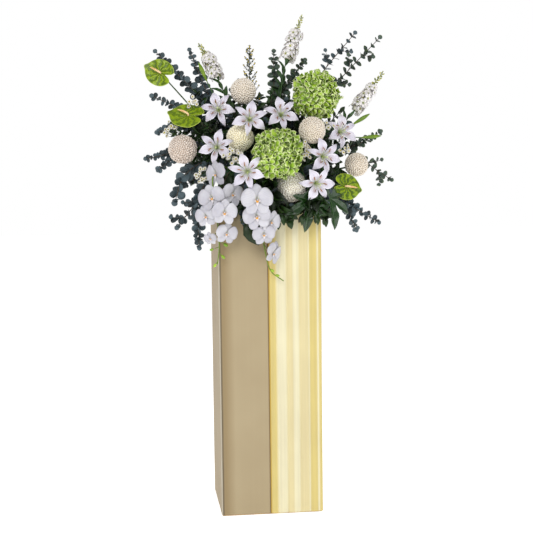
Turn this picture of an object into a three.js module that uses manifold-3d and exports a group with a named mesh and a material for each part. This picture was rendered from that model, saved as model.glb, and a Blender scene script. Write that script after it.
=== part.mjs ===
// Standing funeral spray: a cloth-covered plinth that carries a tray of floral foam,
// with white and green flowers and eucalyptus arranged to be seen from the front.
// Millimetres, +Z up, the front faces -Y, and the origin is on the floor under the plinth's centre.
import * as THREE from 'three';
import { ConvexHull } from 'three/addons/math/ConvexHull.js';
import { mergeVertices } from 'three/addons/utils/BufferGeometryUtils.js';
import Module from 'manifold-3d';

const wasm = await Module();
wasm.setup();
const { Manifold, Mesh: SolidMesh } = wasm;

// Driving dimensions
const PLINTH = { width: 322, depth: 302, baseBoard: 12, wall: 9, top: 980 };
const CLOTH = { thickness: 2, hem: 3, turnover: 25, seamX: -5, pleatPitch: 19, backPitch: 60, pleatDepth: 4 };
const PLEAT = [[0.2, 1], [0.7, 1], [0.95, 0]]; // share of the pitch, and of the depth
const FLAP_INSET = 0.1; // keeps the turned-over flap inside the wall's skin
const TRAY = { halfX: 136, halfY: 96, height: 70, wall: 3, taper: 9 };
const FOAM = { halfX: 123, halfY: 83, top: 1130, chamfer: 12 };
const ROOT = { x: 0, y: 10, z: 1062, depth: 30, straight: 12 }; // where the lines of all the stems meet
const GAP = 0.35; // air between any two pieces
const CUT = 1; // how far a cutter runs past the face that it opens
const LEAF_THICKNESS = 1.4;

const COLOURS = {
  wood: 0xb99a6b, tanCloth: 0xbfae8e, goldCloth: 0xeadfa6, tray: 0x1f2421, foam: 0x2f5a36,
  mum: 0xf0e6d2, hydrangea: 0x9fcf5a, lily: 0xebe8f4, lilyGreen: 0x4f7a2c, orchid: 0xf6f4f8,
  anthurium: 0x86b32a, spadix: 0xf0c480, stock: 0xf0ecea, eucalyptus: 0x46585a, leaf: 0x1f3d1e,
  daisy: 0xf4f1e6, filler: 0x47603a,
};

// Small helpers

const vec = (x, y, z) => new THREE.Vector3(x, y, z);
const up = vec(0, 0, 1);
const rad = THREE.MathUtils.degToRad;
const { lerp } = THREE.MathUtils;

function random(seed) {
  let state = seed >>> 0;
  return () => {
    state = (state + 0x6d2b79f5) >>> 0;
    let t = Math.imul(state ^ (state >>> 15), 1 | state);
    t = (t + Math.imul(t ^ (t >>> 7), 61 | t)) ^ t;
    return ((t ^ (t >>> 14)) >>> 0) / 4294967296;
  };
}

// A closed geometry as a solid
function solidOf(geometry) {
  const bare = geometry.clone();
  bare.deleteAttribute('normal');
  bare.deleteAttribute('uv');
  const merged = mergeVertices(bare, 1e-4);
  return new Manifold(new SolidMesh({
    numProp: 3,
    vertProperties: new Float32Array(merged.attributes.position.array),
    triVerts: new Uint32Array(merged.index.array),
  }));
}

// A closed skin over rings of points. A ring of one point closes that end, and other ends are capped.
function loft(rings) {
  const points = rings.flat();
  const index = [];
  const starts = [];
  let count = 0;
  for (const ring of rings) {
    starts.push(count);
    count += ring.length;
  }
  for (let i = 0; i + 1 < rings.length; i++) {
    const [below, above] = [rings[i].length, rings[i + 1].length];
    const around = Math.max(below, above);
    for (let j = 0; j < around; j++) {
      const k = (j + 1) % around;
      const [a0, a1] = below > 1 ? [starts[i] + j, starts[i] + k] : [starts[i], starts[i]];
      const [b0, b1] = above > 1 ? [starts[i + 1] + j, starts[i + 1] + k] : [starts[i + 1], starts[i + 1]];
      if (below > 1) index.push(a0, a1, b0);
      if (above > 1) index.push(a1, b1, b0);
    }
  }
  const last = rings.length - 1;
  for (let j = 1; j + 1 < rings[0].length; j++) index.push(0, j + 1, j);
  for (let j = 1; j + 1 < rings[last].length; j++) {
    index.push(starts[last], starts[last] + j, starts[last] + j + 1);
  }
  let volume = 0;
  for (let i = 0; i < index.length; i += 3) {
    const [a, b, c] = [points[index[i]], points[index[i + 1]], points[index[i + 2]]];
    volume += a.clone().cross(b).dot(c);
  }
  if (volume < 0) {
    for (let i = 0; i < index.length; i += 3) [index[i + 1], index[i + 2]] = [index[i + 2], index[i + 1]];
  }
  const geometry = new THREE.BufferGeometry().setFromPoints(points).setIndex(index);
  return solidOf(geometry);
}

// A round stem through points, with one radius for each point
function tube(points, radii, sides = 4) {
  const rings = [];
  let normal = null;
  points.forEach((point, i) => {
    const before = points[Math.max(i - 1, 0)];
    const after = points[Math.min(i + 1, points.length - 1)];
    const tangent = after.clone().sub(before).normalize();
    if (!normal) normal = Math.abs(tangent.y) > 0.9 ? up.clone() : vec(0, 1, 0);
    normal = normal.clone().addScaledVector(tangent, -normal.dot(tangent)).normalize();
    const side = tangent.clone().cross(normal);
    const ring = [];
    for (let j = 0; j < sides; j++) {
      const angle = ((j + 0.5) / sides) * 2 * Math.PI;
      const out = normal.clone().multiplyScalar(Math.cos(angle)).addScaledVector(side, Math.sin(angle));
      ring.push(point.clone().addScaledVector(out, radii[i]));
    }
    rings.push(ring);
  });
  return loft(rings);
}

// A thin blade that grows along +Y with its ribbed face up +Z. Each station has its place along the rib
// (y, z) and its half width w.
function blade(stations) {
  return loft(stations.map(({ y, z, w }) => (
    w === 0 ? [vec(0, y, z)] : [vec(-w, y, z), vec(0, y, z + LEAF_THICKNESS), vec(w, y, z)]
  )));
}

// An open floret on +Z: pointed lobes round a centre, above a root
function floret({ lobes, radius, notch, cup, root, centre = 0 }) {
  const rim = [];
  for (let i = 0; i < 2 * lobes; i++) {
    const angle = (i * Math.PI) / lobes;
    const reach = i % 2 ? radius * notch : radius;
    rim.push(vec(reach * Math.cos(angle), reach * Math.sin(angle), i % 2 ? cup * notch : cup));
  }
  return loft([[vec(0, 0, -root)], rim, [vec(0, 0, centre)]]);
}

// A slim piece with three sides, pointed at both ends and widest at a share of its length
function spindle(start, end, radius, share) {
  const [a, b] = [start, end];
  const tangent = b.clone().sub(a).normalize();
  const side = tangent.clone().cross(Math.abs(tangent.z) > 0.9 ? vec(1, 0, 0) : up).normalize();
  const ring = [0, 120, 240].map((turn) => a.clone().lerp(b, share)
    .addScaledVector(side.clone().applyAxisAngle(tangent, rad(turn)), radius));
  return loft([[a], ring, [b]]);
}

// A bloom on +Z as one skin: petals round a throat, each with its angle from +Y and its stations out to
// its tip, as in a blade. Neighbours meet in a notch at the throat's rim.
function star(petals, { front, back, notch, thickness }) {
  const points = [vec(0, 0, front), vec(0, 0, back)];
  const index = [];
  const put = (angle, x, y, z) => points.push(vec(x, y, z).applyAxisAngle(up, -rad(angle))) - 1;
  const row = (angle, { y, z, w, lift = 0 }, left, right) => ({
    left: left ?? put(angle, -w, y, z + lift),
    right: right ?? put(angle, w, y, z + lift),
    face: put(angle, 0, y, z + thickness / 2),
    under: put(angle, 0, y, z - thickness / 2),
  });
  const count = petals.length;
  const notches = petals.map(({ angle }, i) => {
    const next = petals[(i + 1) % count].angle + (i + 1 === count ? 360 : 0);
    return put((angle + next) / 2, 0, notch.r, notch.z);
  });
  petals.forEach(({ angle, stations }, i) => {
    let low = row(angle, { y: notch.r, z: notch.z }, notches[(i + count - 1) % count], notches[i]);
    index.push(0, low.right, low.face, 0, low.face, low.left);
    index.push(1, low.under, low.right, 1, low.left, low.under);
    for (const station of stations.slice(0, -1)) {
      const high = row(angle, station);
      index.push(low.face, low.right, high.right, low.face, high.right, high.face);
      index.push(low.left, low.face, high.face, low.left, high.face, high.left);
      index.push(low.under, high.right, low.right, low.under, high.under, high.right);
      index.push(low.left, high.under, low.under, low.left, high.left, high.under);
      low = high;
    }
    const { y, z } = stations.at(-1);
    const tip = put(angle, 0, y, z);
    index.push(low.face, low.right, tip, low.left, low.face, tip);
    index.push(low.under, tip, low.right, low.left, tip, low.under);
  });
  return solidOf(new THREE.BufferGeometry().setFromPoints(points).setIndex(index));
}

// The matrix that puts a piece at a point with its +Y along one direction and its +Z near another
function frame(origin, along, face) {
  const y = along.clone().normalize();
  const z = face.clone().addScaledVector(y, -face.dot(y));
  if (z.lengthSq() < 1e-6) z.copy(up).addScaledVector(y, -y.z);
  z.normalize();
  const x = y.clone().cross(z);
  return new THREE.Matrix4().makeBasis(x, y, z).setPosition(origin);
}

// The matrix that puts a bloom at a point with its +Z facing out, turned by roll about it from upright
function facing(origin, face, rollDeg = 0) {
  const z = face.clone().normalize();
  const y = up.clone().addScaledVector(z, -z.z);
  if (y.lengthSq() < 1e-4) y.set(0, 1, 0);
  y.normalize().applyAxisAngle(z, -rad(rollDeg));
  return new THREE.Matrix4().makeBasis(y.clone().cross(z), y, z).setPosition(origin);
}

const move = (solid, matrix) => solid.transform(matrix.elements);

// Fibonacci points: an even cover of a ball, from its crown down
function ballPoints(count) {
  const golden = Math.PI * (3 - Math.sqrt(5));
  return Array.from({ length: count }, (_, i) => {
    const z = 1 - (2 * (i + 0.5)) / count;
    const r = Math.sqrt(1 - z * z);
    return vec(r * Math.cos(i * golden), r * Math.sin(i * golden), z);
  });
}

// The nodes and how they stay clear of each other

const nodes = new Map(); // name: { colour, pieces: [{ solid, box }] }

function add(name, colour, solid) {
  if (!nodes.has(name)) nodes.set(name, { colour, pieces: [] });
  nodes.get(name).pieces.push({ solid, box: solid.boundingBox() });
  return solid;
}

function boxesMeet(a, b) {
  return [0, 1, 2].every((i) => a.min[i] - GAP < b.max[i] && b.min[i] - GAP < a.max[i]);
}

// The first other node that a piece of a node would meet
function neighbourOf(name, solid, skipped = []) {
  const box = solid.boundingBox();
  for (const [other, { pieces }] of nodes) {
    if (other === name || skipped.includes(other)) continue;
    for (const piece of pieces) {
      if (boxesMeet(box, piece.box) && solid.minGap(piece.solid, GAP) < GAP) return other;
    }
  }
  return null;
}

const isClear = (name, solid, skipped) => neighbourOf(name, solid, skipped) === null;

// Adds the first of the tries that is clear of every other node, or nothing
function fit(name, colour, tries) {
  let other = null;
  for (const make of tries) {
    const solid = make();
    other = neighbourOf(name, solid);
    if (!other) return add(name, colour, solid);
    solid.delete();
  }
  crowded.push(`${name} by ${other}`);
  return null;
}

const missed = [];
const crowded = [];

// Adds a piece in a fixed place, and notes it if it isn't clear
function place(name, colour, solid, matrix = new THREE.Matrix4()) {
  const placed = move(solid, matrix);
  const other = neighbourOf(name, placed);
  if (other) missed.push(`${name} at ${placed.boundingBox().min.map(Math.round)} meets ${other}`);
  return add(name, colour, placed);
}

const nearestOn = (points, target) => (
  points.reduce((best, p) => (p.distanceTo(target) < best.distanceTo(target) ? p : best))
);

// Plinth, cloth, tray and foam

// A solid through level rectangles, each [z, halfX, halfY]
function stack(levels) {
  const corners = (hx, hy, z) => [vec(hx, -hy, z), vec(hx, hy, z), vec(-hx, hy, z), vec(-hx, -hy, z)];
  return loft(levels.map(([z, hx, hy]) => corners(hx, hy, z)));
}

const half = { x: PLINTH.width / 2, y: PLINTH.depth / 2 };

function buildPlinth() {
  const { baseBoard, wall, top } = PLINTH;
  add('base_board', COLOURS.wood, stack([[0, half.x, half.y], [baseBoard, half.x, half.y]]));
  add('top_board', COLOURS.wood, stack([[top - baseBoard, half.x, half.y], [top, half.x, half.y]]));
  const [low, high] = [baseBoard + GAP, top - baseBoard - GAP];
  const [innerX, innerY] = [half.x - wall, half.y - wall];
  const inside = stack([[low - CUT, innerX, innerY], [high + CUT, innerX, innerY]]);
  add('plinth_walls', COLOURS.wood, stack([[low, half.x, half.y], [high, half.x, half.y]]).subtract(inside));
}

// The plan of a U of cloth round the left (side -1) or right (side 1) half of the plinth
function clothPlan(side, seam, inset, outset, pleated) {
  const [innerX, innerY] = [half.x - inset, half.y - inset];
  const [outerX, outerY] = [half.x + outset, half.y + outset];
  const shape = new THREE.Shape();
  const edge = side * outerX;
  const outer = [vec(seam, -outerY, 0), vec(edge, -outerY, 0), vec(edge, outerY, 0), vec(seam, outerY, 0)];
  shape.moveTo(outer[0].x, outer[0].y);
  for (let i = 1; i < outer.length; i++) {
    const [a, b] = [outer[i - 1], outer[i]];
    const length = a.distanceTo(b);
    const out = vec(b.y - a.y, a.x - b.x, 0).multiplyScalar(side / length);
    const count = pleated ? Math.floor(length / (i === 1 ? CLOTH.pleatPitch : CLOTH.backPitch)) : 0;
    for (let j = 0; j < count; j++) {
      for (const [along, rise] of PLEAT) {
        const at = a.clone().lerp(b, (j + along) / count).addScaledVector(out, rise * CLOTH.pleatDepth);
        shape.lineTo(at.x, at.y);
      }
    }
    shape.lineTo(b.x, b.y);
  }
  shape.lineTo(seam, innerY);
  shape.lineTo(side * innerX, innerY);
  shape.lineTo(side * innerX, -innerY);
  shape.lineTo(seam, -innerY);
  shape.closePath();
  return shape;
}

function buildCloth(name, colour, side, seam, pleated) {
  const { thickness, hem, turnover } = CLOTH;
  const raise = (shape, low, high) => solidOf(
    new THREE.ExtrudeGeometry(shape, { depth: high - low, bevelEnabled: false }).translate(0, 0, low),
  );
  const topFace = PLINTH.top + GAP;
  const skin = GAP + thickness;
  const wall = raise(clothPlan(side, seam, -GAP, skin, pleated), hem, topFace + thickness);
  const flap = raise(clothPlan(side, seam, turnover, skin - FLAP_INSET, false), topFace, topFace + thickness);
  add(name, colour, wall.add(flap));
}

function buildTray() {
  const { halfX, halfY, height, wall, taper } = TRAY;
  const [low, high] = [PLINTH.top + GAP, PLINTH.top + height];
  const outer = stack([[low, halfX - taper, halfY - taper], [high, halfX, halfY]]);
  const [floorX, floorY] = [halfX - taper - wall, halfY - taper - wall];
  const inner = stack([[low + wall, floorX, floorY], [high + CUT, halfX - wall, halfY - wall]]);
  add('flower_tray', COLOURS.tray, outer.subtract(inner));
}

function foamBlock() {
  const { halfX, halfY, top, chamfer } = FOAM;
  const low = PLINTH.top + TRAY.wall + 2 * GAP;
  return stack([
    [low, halfX, halfY], [top - chamfer, halfX, halfY], [top, halfX - chamfer, halfY - chamfer],
  ]);
}

buildPlinth();
buildCloth('tan_cloth', COLOURS.tanCloth, -1, CLOTH.seamX - GAP, false);
buildCloth('gold_cloth', COLOURS.goldCloth, 1, CLOTH.seamX, true);
buildTray();
add('floral_foam', COLOURS.foam, foamBlock());

// Stems

const holes = [];
const HOLE_WEB = 1; // foam between two holes

// Where a line from the root point leaves the foam
function foamExit(origin, direction) {
  const { halfX, halfY, top } = FOAM;
  const limits = [[halfX, 'x', 1], [halfX, 'x', -1], [halfY, 'y', 1], [halfY, 'y', -1], [top, 'z', 1]];
  let nearest = Infinity;
  for (const [limit, axis, sign] of limits) {
    const speed = direction[axis] * sign;
    if (speed > 1e-6) nearest = Math.min(nearest, (limit - origin[axis] * sign) / speed);
  }
  return origin.clone().addScaledVector(direction, nearest);
}

// The ways a stem may bend to stay clear: how far its root line moves, and how long its two ends run straight
const ROOT_SIDES = [
  [1, 0, 0], [-1, 0, 0], [0, 0, 1], [0, 1, 0], [0, -1, 0], [1, 0, 1], [-1, 0, 1], [1, 1, 0], [-1, 1, 0],
];
const ROOT_SHIFTS = [[0, 0, 0]];
for (const step of [9, 18, 27]) ROOT_SHIFTS.push(...ROOT_SIDES.map((side) => side.map((c) => c * step)));
const BENDS = [[0.35, 0.3], [0.15, 0.2], [0.6, 0.15], [0.2, 0.5], [0.7, 0.4]];

// The line of a stem: straight out of the foam, then a curve through its way points to its end
function stemLine({ aim, via = [], end, endDirection, steps = 6 }, shift, [lead, tail]) {
  const origin = vec(ROOT.x + shift[0], ROOT.y + shift[1], ROOT.z + shift[2]);
  const direction = aim.clone().sub(origin).normalize();
  const exit = foamExit(origin, direction);
  const inner = exit.clone().addScaledVector(direction, -ROOT.depth);
  const out = exit.clone().addScaledVector(direction, ROOT.straight);
  const reach = out.distanceTo(end);
  const curve = via.length
    ? new THREE.CatmullRomCurve3([out, ...via, end], false, 'centripetal')
    : new THREE.CubicBezierCurve3(
      out, out.clone().addScaledVector(direction, reach * lead),
      end.clone().addScaledVector(endDirection, -reach * tail), end,
    );
  return { inner, exit, direction, points: [inner, ...curve.getSpacedPoints(steps)] };
}

// The straight pieces between points as one curve
function pathOf(points) {
  const path = new THREE.CurvePath();
  for (let i = 1; i < points.length; i++) path.add(new THREE.LineCurve3(points[i - 1], points[i]));
  return path;
}

// Stands a stem in its own hole in the foam, and returns its line above the hole
function standStem(name, colour, route, radius, tipRadius = radius) {
  const sides = route.sides ?? 3;
  for (const bend of route.via ? BENDS.slice(0, 1) : BENDS) {
    for (const shift of ROOT_SHIFTS) {
      const { inner, exit, direction, points } = stemLine(route, shift, bend);
      const radii = points.map((_, i) => lerp(radius, tipRadius, i / (points.length - 1)));
      radii[0] = radius;
      radii[1] = radius;
      const before = inner.clone().addScaledVector(direction, -1);
      const after = exit.clone().addScaledVector(direction, ROOT.straight);
      const hole = tube([before, after], [radius + 2 * GAP, radius + 2 * GAP], sides);
      if (holes.some((other) => hole.minGap(other, HOLE_WEB) < HOLE_WEB)) continue;
      const solid = tube(points, radii, sides);
      if (isClear(name, solid, ['floral_foam'])) {
        holes.push(hole);
        add(name, colour, solid);
        return pathOf(points.slice(1));
      }
    }
  }
  missed.push(`stem of ${name}`);
  return null;
}

// Ball chrysanthemums: a ball of petal tips in a spiral, with a groove round each one

const MUMS = [
  { name: 'mum_1', at: vec(-65, -40, 1360), radius: 42, face: vec(-0.1, -0.8, 0.6) },
  { name: 'mum_2', at: vec(140, -150, 1230), radius: 43, face: vec(0.2, -1, 0.2) },
  { name: 'mum_3', at: vec(-265, -85, 1175), radius: 46, face: vec(-0.5, -1, 0.3) },
  { name: 'mum_4', at: vec(-85, -115, 1208), radius: 44, face: vec(-0.1, -1, 0.4) },
  { name: 'mum_5', at: vec(74, -146, 1054), radius: 50, face: vec(0.1, -1, 0) },
  { name: 'mum_6', at: vec(300, -60, 1120), radius: 39, face: vec(0.6, -0.8, 0.2) },
];
const MUM_PETALS = 37;
const MUM_GROOVE = 0.8; // of the radius
const MUM_LEAN = 0.16; // how far each tip leans towards the crown

function mumHead(radius) {
  const tips = ballPoints(MUM_PETALS);
  const hull = new ConvexHull().setFromPoints(tips);
  const places = new Map(tips.map((tip, i) => [tip, i]));
  const leaned = (tip) => tip.clone().add(vec(0, 0, MUM_LEAN * (1 - tip.z))).normalize();
  const points = tips.map((tip) => leaned(tip).multiplyScalar(radius));
  const owner = new Map();
  for (const face of hull.faces) {
    const corners = [];
    let edge = face.edge;
    do {
      corners.push(places.get(edge.head().point));
      edge = edge.next;
    } while (edge !== face.edge);
    const middle = corners.reduce((sum, i) => sum.add(tips[i]), vec(0, 0, 0)).normalize();
    points.push(middle.multiplyScalar(radius * MUM_GROOVE));
    corners.forEach((a, i) => owner.set(`${a} ${corners[(i + 1) % corners.length]}`, points.length - 1));
  }
  const index = [];
  for (const [key, left] of owner) {
    const [a, b] = key.split(' ').map(Number);
    index.push(a, owner.get(`${b} ${a}`), left);
  }
  return solidOf(new THREE.BufferGeometry().setFromPoints(points).setIndex(index));
}

function buildMums() {
  for (const { name, at, radius, face } of MUMS) {
    place(name, COLOURS.mum, mumHead(radius), facing(at, face));
  }
}

// Hydrangeas: a ball covered with four-petalled florets

const HYDRANGEAS = [
  { name: 'hydrangea_1', at: vec(165, -60, 1345), radius: 77, face: vec(0.2, -1, 0.5), seed: 3 },
  { name: 'hydrangea_2', at: vec(20, -212, 1158), radius: 75, face: vec(0, -1, 0.1), seed: 8 },
];
const HYDRANGEA_FLORETS = 27;
const HYDRANGEA_BARE = 0.86; // how far down the ball the florets reach, as a share of its radius
const HYDRANGEA_FLORET = { lobes: 4, radius: 27, notch: 0.52, cup: 2, root: 20, centre: -3 };

function hydrangeaHead(radius, seed) {
  const draw = random(seed);
  const pieces = [solidOf(new THREE.IcosahedronGeometry(radius - 13, 1))];
  for (const out of ballPoints(HYDRANGEA_FLORETS)) {
    if (out.z < -HYDRANGEA_BARE) continue;
    const tilt = vec(draw() - 0.5, draw() - 0.5, draw() - 0.5).multiplyScalar(0.5);
    const turn = draw() * 90;
    const matrix = facing(out.clone().multiplyScalar(radius - 3), out.clone().add(tilt), turn);
    pieces.push(move(floret(HYDRANGEA_FLORET), matrix));
  }
  return Manifold.union(pieces);
}

function buildHydrangeas() {
  for (const { name, at, radius, face, seed } of HYDRANGEAS) {
    place(name, COLOURS.hydrangea, hydrangeaHead(radius, seed), facing(at, face));
  }
}

// Anthuriums: a heart-shaped spathe with raised net, and a spadix that leans out of it

const ANTHURIUMS = [
  { name: 'anthurium_1', at: vec(-330, -20, 1420), size: 47, face: vec(-0.35, -1, 0.25), roll: 115 },
  { name: 'anthurium_2', at: vec(-248, -75, 1280), size: 54, face: vec(-0.2, -0.8, 0.75), roll: 100 },
  { name: 'anthurium_3', at: vec(252, -125, 1050), size: 46, face: vec(0.35, -1, 0.15), roll: -75 },
];
const SPATHE_POINTS = 14;
const SPADIX = { // its foot lies just over the spathe
  line: [vec(0, 4, 2.12), vec(0, 4, 10), vec(0, -8, 19), vec(0, -28, 25)],
  radii: [3, 3.6, 3.2, 1.6],
};

// The heart's reach at an angle from its tip, as a share of its size
function heartReach(angle) {
  const a = Math.abs(angle);
  const lobe = 0.82 + 0.24 * Math.cos(a) ** 2 + 0.1 * Math.sin(a) ** 2;
  return a > 2.9 ? 0.42 : lobe * (a < 0.2 ? 1.12 : 1);
}

// Both faces are cut along the same lines, so that neither dips through the other
function spathe(size) {
  const points = [vec(0, 0, 1), vec(0, 0, -1)];
  const index = [];
  for (let i = 0; i < SPATHE_POINTS; i++) {
    const angle = ((i / SPATHE_POINTS) * 2 - 1) * Math.PI;
    const reach = heartReach(angle) * size;
    const ripple = i % 2 ? 2.2 : -1.2;
    const [x, y] = [Math.sin(angle), -Math.cos(angle)];
    const middle = 0.55 * reach;
    points.push(
      vec(x * middle, y * middle, ripple + 2.4),
      vec(x * middle, y * middle, ripple + 1),
      vec(x * reach, y * reach, 5 - 0.12 * reach * Math.abs(x)),
    );
    const [face, under, rim] = [3 * i + 2, 3 * i + 3, 3 * i + 4];
    const next = 3 * ((i + 1) % SPATHE_POINTS) + 2;
    const [nextFace, nextUnder, nextRim] = [next, next + 1, next + 2];
    index.push(0, face, nextFace, face, rim, nextFace, rim, nextRim, nextFace);
    index.push(1, nextUnder, under, under, nextUnder, rim, rim, nextUnder, nextRim);
  }
  return solidOf(new THREE.BufferGeometry().setFromPoints(points).setIndex(index));
}

function buildAnthuriums() {
  for (const { name, at, size, face, roll } of ANTHURIUMS) {
    const matrix = facing(at, face, roll);
    place(name, COLOURS.anthurium, spathe(size), matrix);
    place(`${name}_spadix`, COLOURS.spadix, tube(SPADIX.line, SPADIX.radii, 5), matrix);
  }
}

// Lilies: six petals that flare from a throat, with stamens; several blooms share a leafy stem

const LILIES = [
  { name: 'lily_1', at: vec(-153, -92, 1305), face: vec(-0.25, -1, 0.3), roll: -21 },
  { name: 'lily_2', at: vec(-59, -172, 1270), face: vec(-0.05, -1, 0.25), roll: 10 },
  { name: 'lily_3', at: vec(45, -142, 1285), face: vec(0, -1, 0.3), roll: -10 },
  { name: 'lily_4', at: vec(-165, -160, 1182), face: vec(-0.2, -1, 0.15), roll: 10 },
  { name: 'lily_5', at: vec(-80, -260, 1104), face: vec(-0.15, -1, 0.05), roll: -17 },
  { name: 'lily_6', at: vec(248, -98, 1230), face: vec(0.35, -1, 0.25), roll: 2 },
  { name: 'lily_7', at: vec(175, -188, 1148), face: vec(0.25, -1, 0.05), roll: -11 },
  { name: 'lily_8', at: vec(147, -218, 1062), face: vec(0.2, -1, -0.1), roll: -30 },
];
const LILY = { front: 4, back: -9, notch: { r: 13, z: 15 }, thickness: 1.6, depth: 30, stamens: 4 };
const LILY_PETAL = [{ y: 27, z: 25, w: 13.5, lift: 2 }, { y: 43, z: 29, w: 12.5, lift: 1 }, { y: 60, z: 22 }];
const STAMEN = { lean: 14, height: 40, anther: 2 };

function lilyBloom() {
  const petals = Array.from({ length: 6 }, (_, i) => {
    const [width, drop] = i % 2 ? [0.85, 2] : [1.12, 0];
    const stations = i % 2 ? LILY_PETAL.slice(1) : LILY_PETAL;
    return { angle: i * 60, stations: stations.map((s) => ({ ...s, w: (s.w ?? 0) * width, z: s.z - drop })) };
  });
  const pieces = [star(petals, LILY)];
  for (let i = 0; i < LILY.stamens; i++) {
    const angle = rad((360 * (i + 0.5)) / LILY.stamens);
    const tip = vec(STAMEN.lean * Math.cos(angle), STAMEN.lean * Math.sin(angle), STAMEN.height);
    pieces.push(spindle(vec(0, 0, -2), tip, STAMEN.anther, 0.85));
  }
  return Manifold.union(pieces);
}

function buildLilies() {
  for (const { name, at, face, roll } of LILIES) {
    const outward = face.clone().normalize();
    const throat = at.clone().addScaledVector(outward, -LILY.depth);
    place(name, COLOURS.lily, lilyBloom(), facing(throat, outward, roll));
  }
}

// Phalaenopsis orchids: two arching spikes of broad white blooms that hang over the plinth's front

const ORCHIDS = [
  {
    name: 'orchid_1', aim: vec(-150, -110, 1125),
    line: [
      vec(-150, -135, 1120), vec(-178, -175, 1085), vec(-172, -188, 1010),
      vec(-165, -186, 930), vec(-162, -182, 870), vec(-168, -180, 815),
    ],
    blooms: [
      { at: vec(-166, -176, 1096), radius: 42, face: vec(-0.9, -0.8, 0.1), roll: -10 },
      { at: vec(-120, -206, 1034), radius: 38, face: vec(0.3, -1, 0), roll: 15 },
      { at: vec(-186, -226, 1024), radius: 42, face: vec(-0.2, -1, 0.1), roll: -15 },
      { at: vec(-150, -250, 980), radius: 41, face: vec(0.1, -1, -0.1), roll: 5 },
      { at: vec(-203, -214, 968), radius: 35, face: vec(-0.5, -1, -0.1), roll: -10 },
      { at: vec(-142, -216, 914), radius: 36, face: vec(0.25, -1, -0.2), roll: 12 },
      { at: vec(-190, -202, 898), radius: 22, face: vec(-0.5, -1, -0.3), roll: -8 },
    ],
    buds: [vec(-186, -184, 862), vec(-142, -184, 876), vec(-150, -182, 838), vec(-176, -180, 812)],
  },
  {
    name: 'orchid_2', aim: vec(-42, -110, 1118),
    line: [
      vec(-44, -130, 1105), vec(-48, -190, 1058), vec(-45, -205, 990),
      vec(-30, -200, 920), vec(-18, -190, 850), vec(0, -182, 790), vec(40, -180, 758),
    ],
    blooms: [
      { at: vec(-50, -255, 1016), radius: 50, face: vec(0.05, -1, 0.1), roll: 0 },
      { at: vec(-50, -246, 966), radius: 44, face: vec(-0.15, -1, -0.15), roll: -12 },
      { at: vec(-4, -226, 948), radius: 36, face: vec(0.6, -1, -0.1), roll: 15 },
      { at: vec(-27, -226, 910), radius: 37, face: vec(0.1, -1, -0.25), roll: -5 },
      { at: vec(4, -204, 850), radius: 38, face: vec(0.8, -0.8, -0.2), roll: 20 },
    ],
    buds: [vec(4, -186, 792), vec(20, -184, 776)],
  },
];
const ORCHID = { front: 0.04, back: -0.13, notch: { r: 0.16, z: 0.03 }, thickness: 1.4 }; // times the radius
const SEPAL = [{ y: 0.58, z: 0.12, w: 0.25, lift: 0.02 }, { y: 1, z: 0.06 }];
const WIDE_PETAL = [
  { y: 0.34, z: 0.15, w: 0.29, lift: 0.02 }, { y: 0.72, z: 0.17, w: 0.44, lift: -0.04 }, { y: 0.98, z: 0.12 },
];
const ORCHID_PETALS = [[0, SEPAL], [72, WIDE_PETAL], [142, SEPAL], [218, SEPAL], [288, WIDE_PETAL]];
const LIP = { reach: 0.42, rise: 0.34, width: 4 };
const SPIKE = { radius: 2.8, tipRadius: 1.6, pedicel: 1.5, drop: 22, setback: 2, bud: 4.5 };

function orchidBloom(radius) {
  const scaled = ({ y, z, w = 0, lift = 0 }) => (
    { y: y * radius, z: z * radius, w: w * radius, lift: lift * radius }
  );
  const petals = ORCHID_PETALS.map(([angle, stations]) => ({ angle, stations: stations.map(scaled) }));
  const shape = {
    front: ORCHID.front * radius, back: ORCHID.back * radius, thickness: ORCHID.thickness,
    notch: { r: ORCHID.notch.r * radius, z: ORCHID.notch.z * radius },
  };
  const lip = spindle(vec(0, 0, -2), vec(0, -LIP.reach * radius, LIP.rise * radius), LIP.width, 0.6);
  return star(petals, shape).add(lip);
}

function buildOrchids() {
  for (const { name, aim, line, blooms, buds } of ORCHIDS) {
    const route = { aim, via: line.slice(0, -1), end: line.at(-1), steps: 8 };
    const stem = standStem(name, COLOURS.orchid, route, SPIKE.radius, SPIKE.tipRadius);
    if (!stem) continue;
    const fine = stem.getSpacedPoints(60);
    for (const { at, radius, face, roll } of blooms) {
      place(name, COLOURS.orchid, orchidBloom(radius), facing(at, face, roll));
      const back = at.clone().addScaledVector(face.clone().normalize(), -SPIKE.setback);
      const start = nearestOn(fine, back.clone().add(vec(0, 0, SPIKE.drop)));
      place(name, COLOURS.orchid, tube([start, back], [SPIKE.pedicel, SPIKE.pedicel], 3));
    }
    for (const bud of buds) {
      const start = nearestOn(fine, bud.clone().add(vec(0, 0, SPIKE.drop / 2)));
      const tip = start.clone().lerp(bud, 1.3);
      place(name, COLOURS.orchid, spindle(start, tip, SPIKE.bud, 0.78));
    }
  }
}

buildMums();
buildHydrangeas();
buildAnthuriums();
buildLilies();
buildOrchids();

// The stems of the heads that are already in place

const LOWEST_AIM = 1112; // the stems leave the foam above the tray
const level = (point) => vec(point.x, point.y, Math.max(point.z, LOWEST_AIM));

function headStem(name, at, face, setback, radius) {
  const outward = face.clone().normalize();
  const end = at.clone().addScaledVector(outward, -setback);
  const endDirection = vec(outward.x * 0.6, outward.y * 0.6, 0.6).normalize();
  const aim = level(end.clone().addScaledVector(endDirection, -30));
  return standStem(name, nodes.get(name).colour, { aim, end, endDirection, steps: 5 }, radius);
}

function buildHeadStems() {
  for (const { name, at, face, radius } of HYDRANGEAS) headStem(name, at, face, radius - 16, 4);
  for (const { name, at, face, radius } of MUMS) headStem(name, at, face, radius * 0.7, 2.8);
  for (const { name, at, face } of ANTHURIUMS) headStem(name, at, face, 0.6, 2);
}

buildHeadStems();

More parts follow.
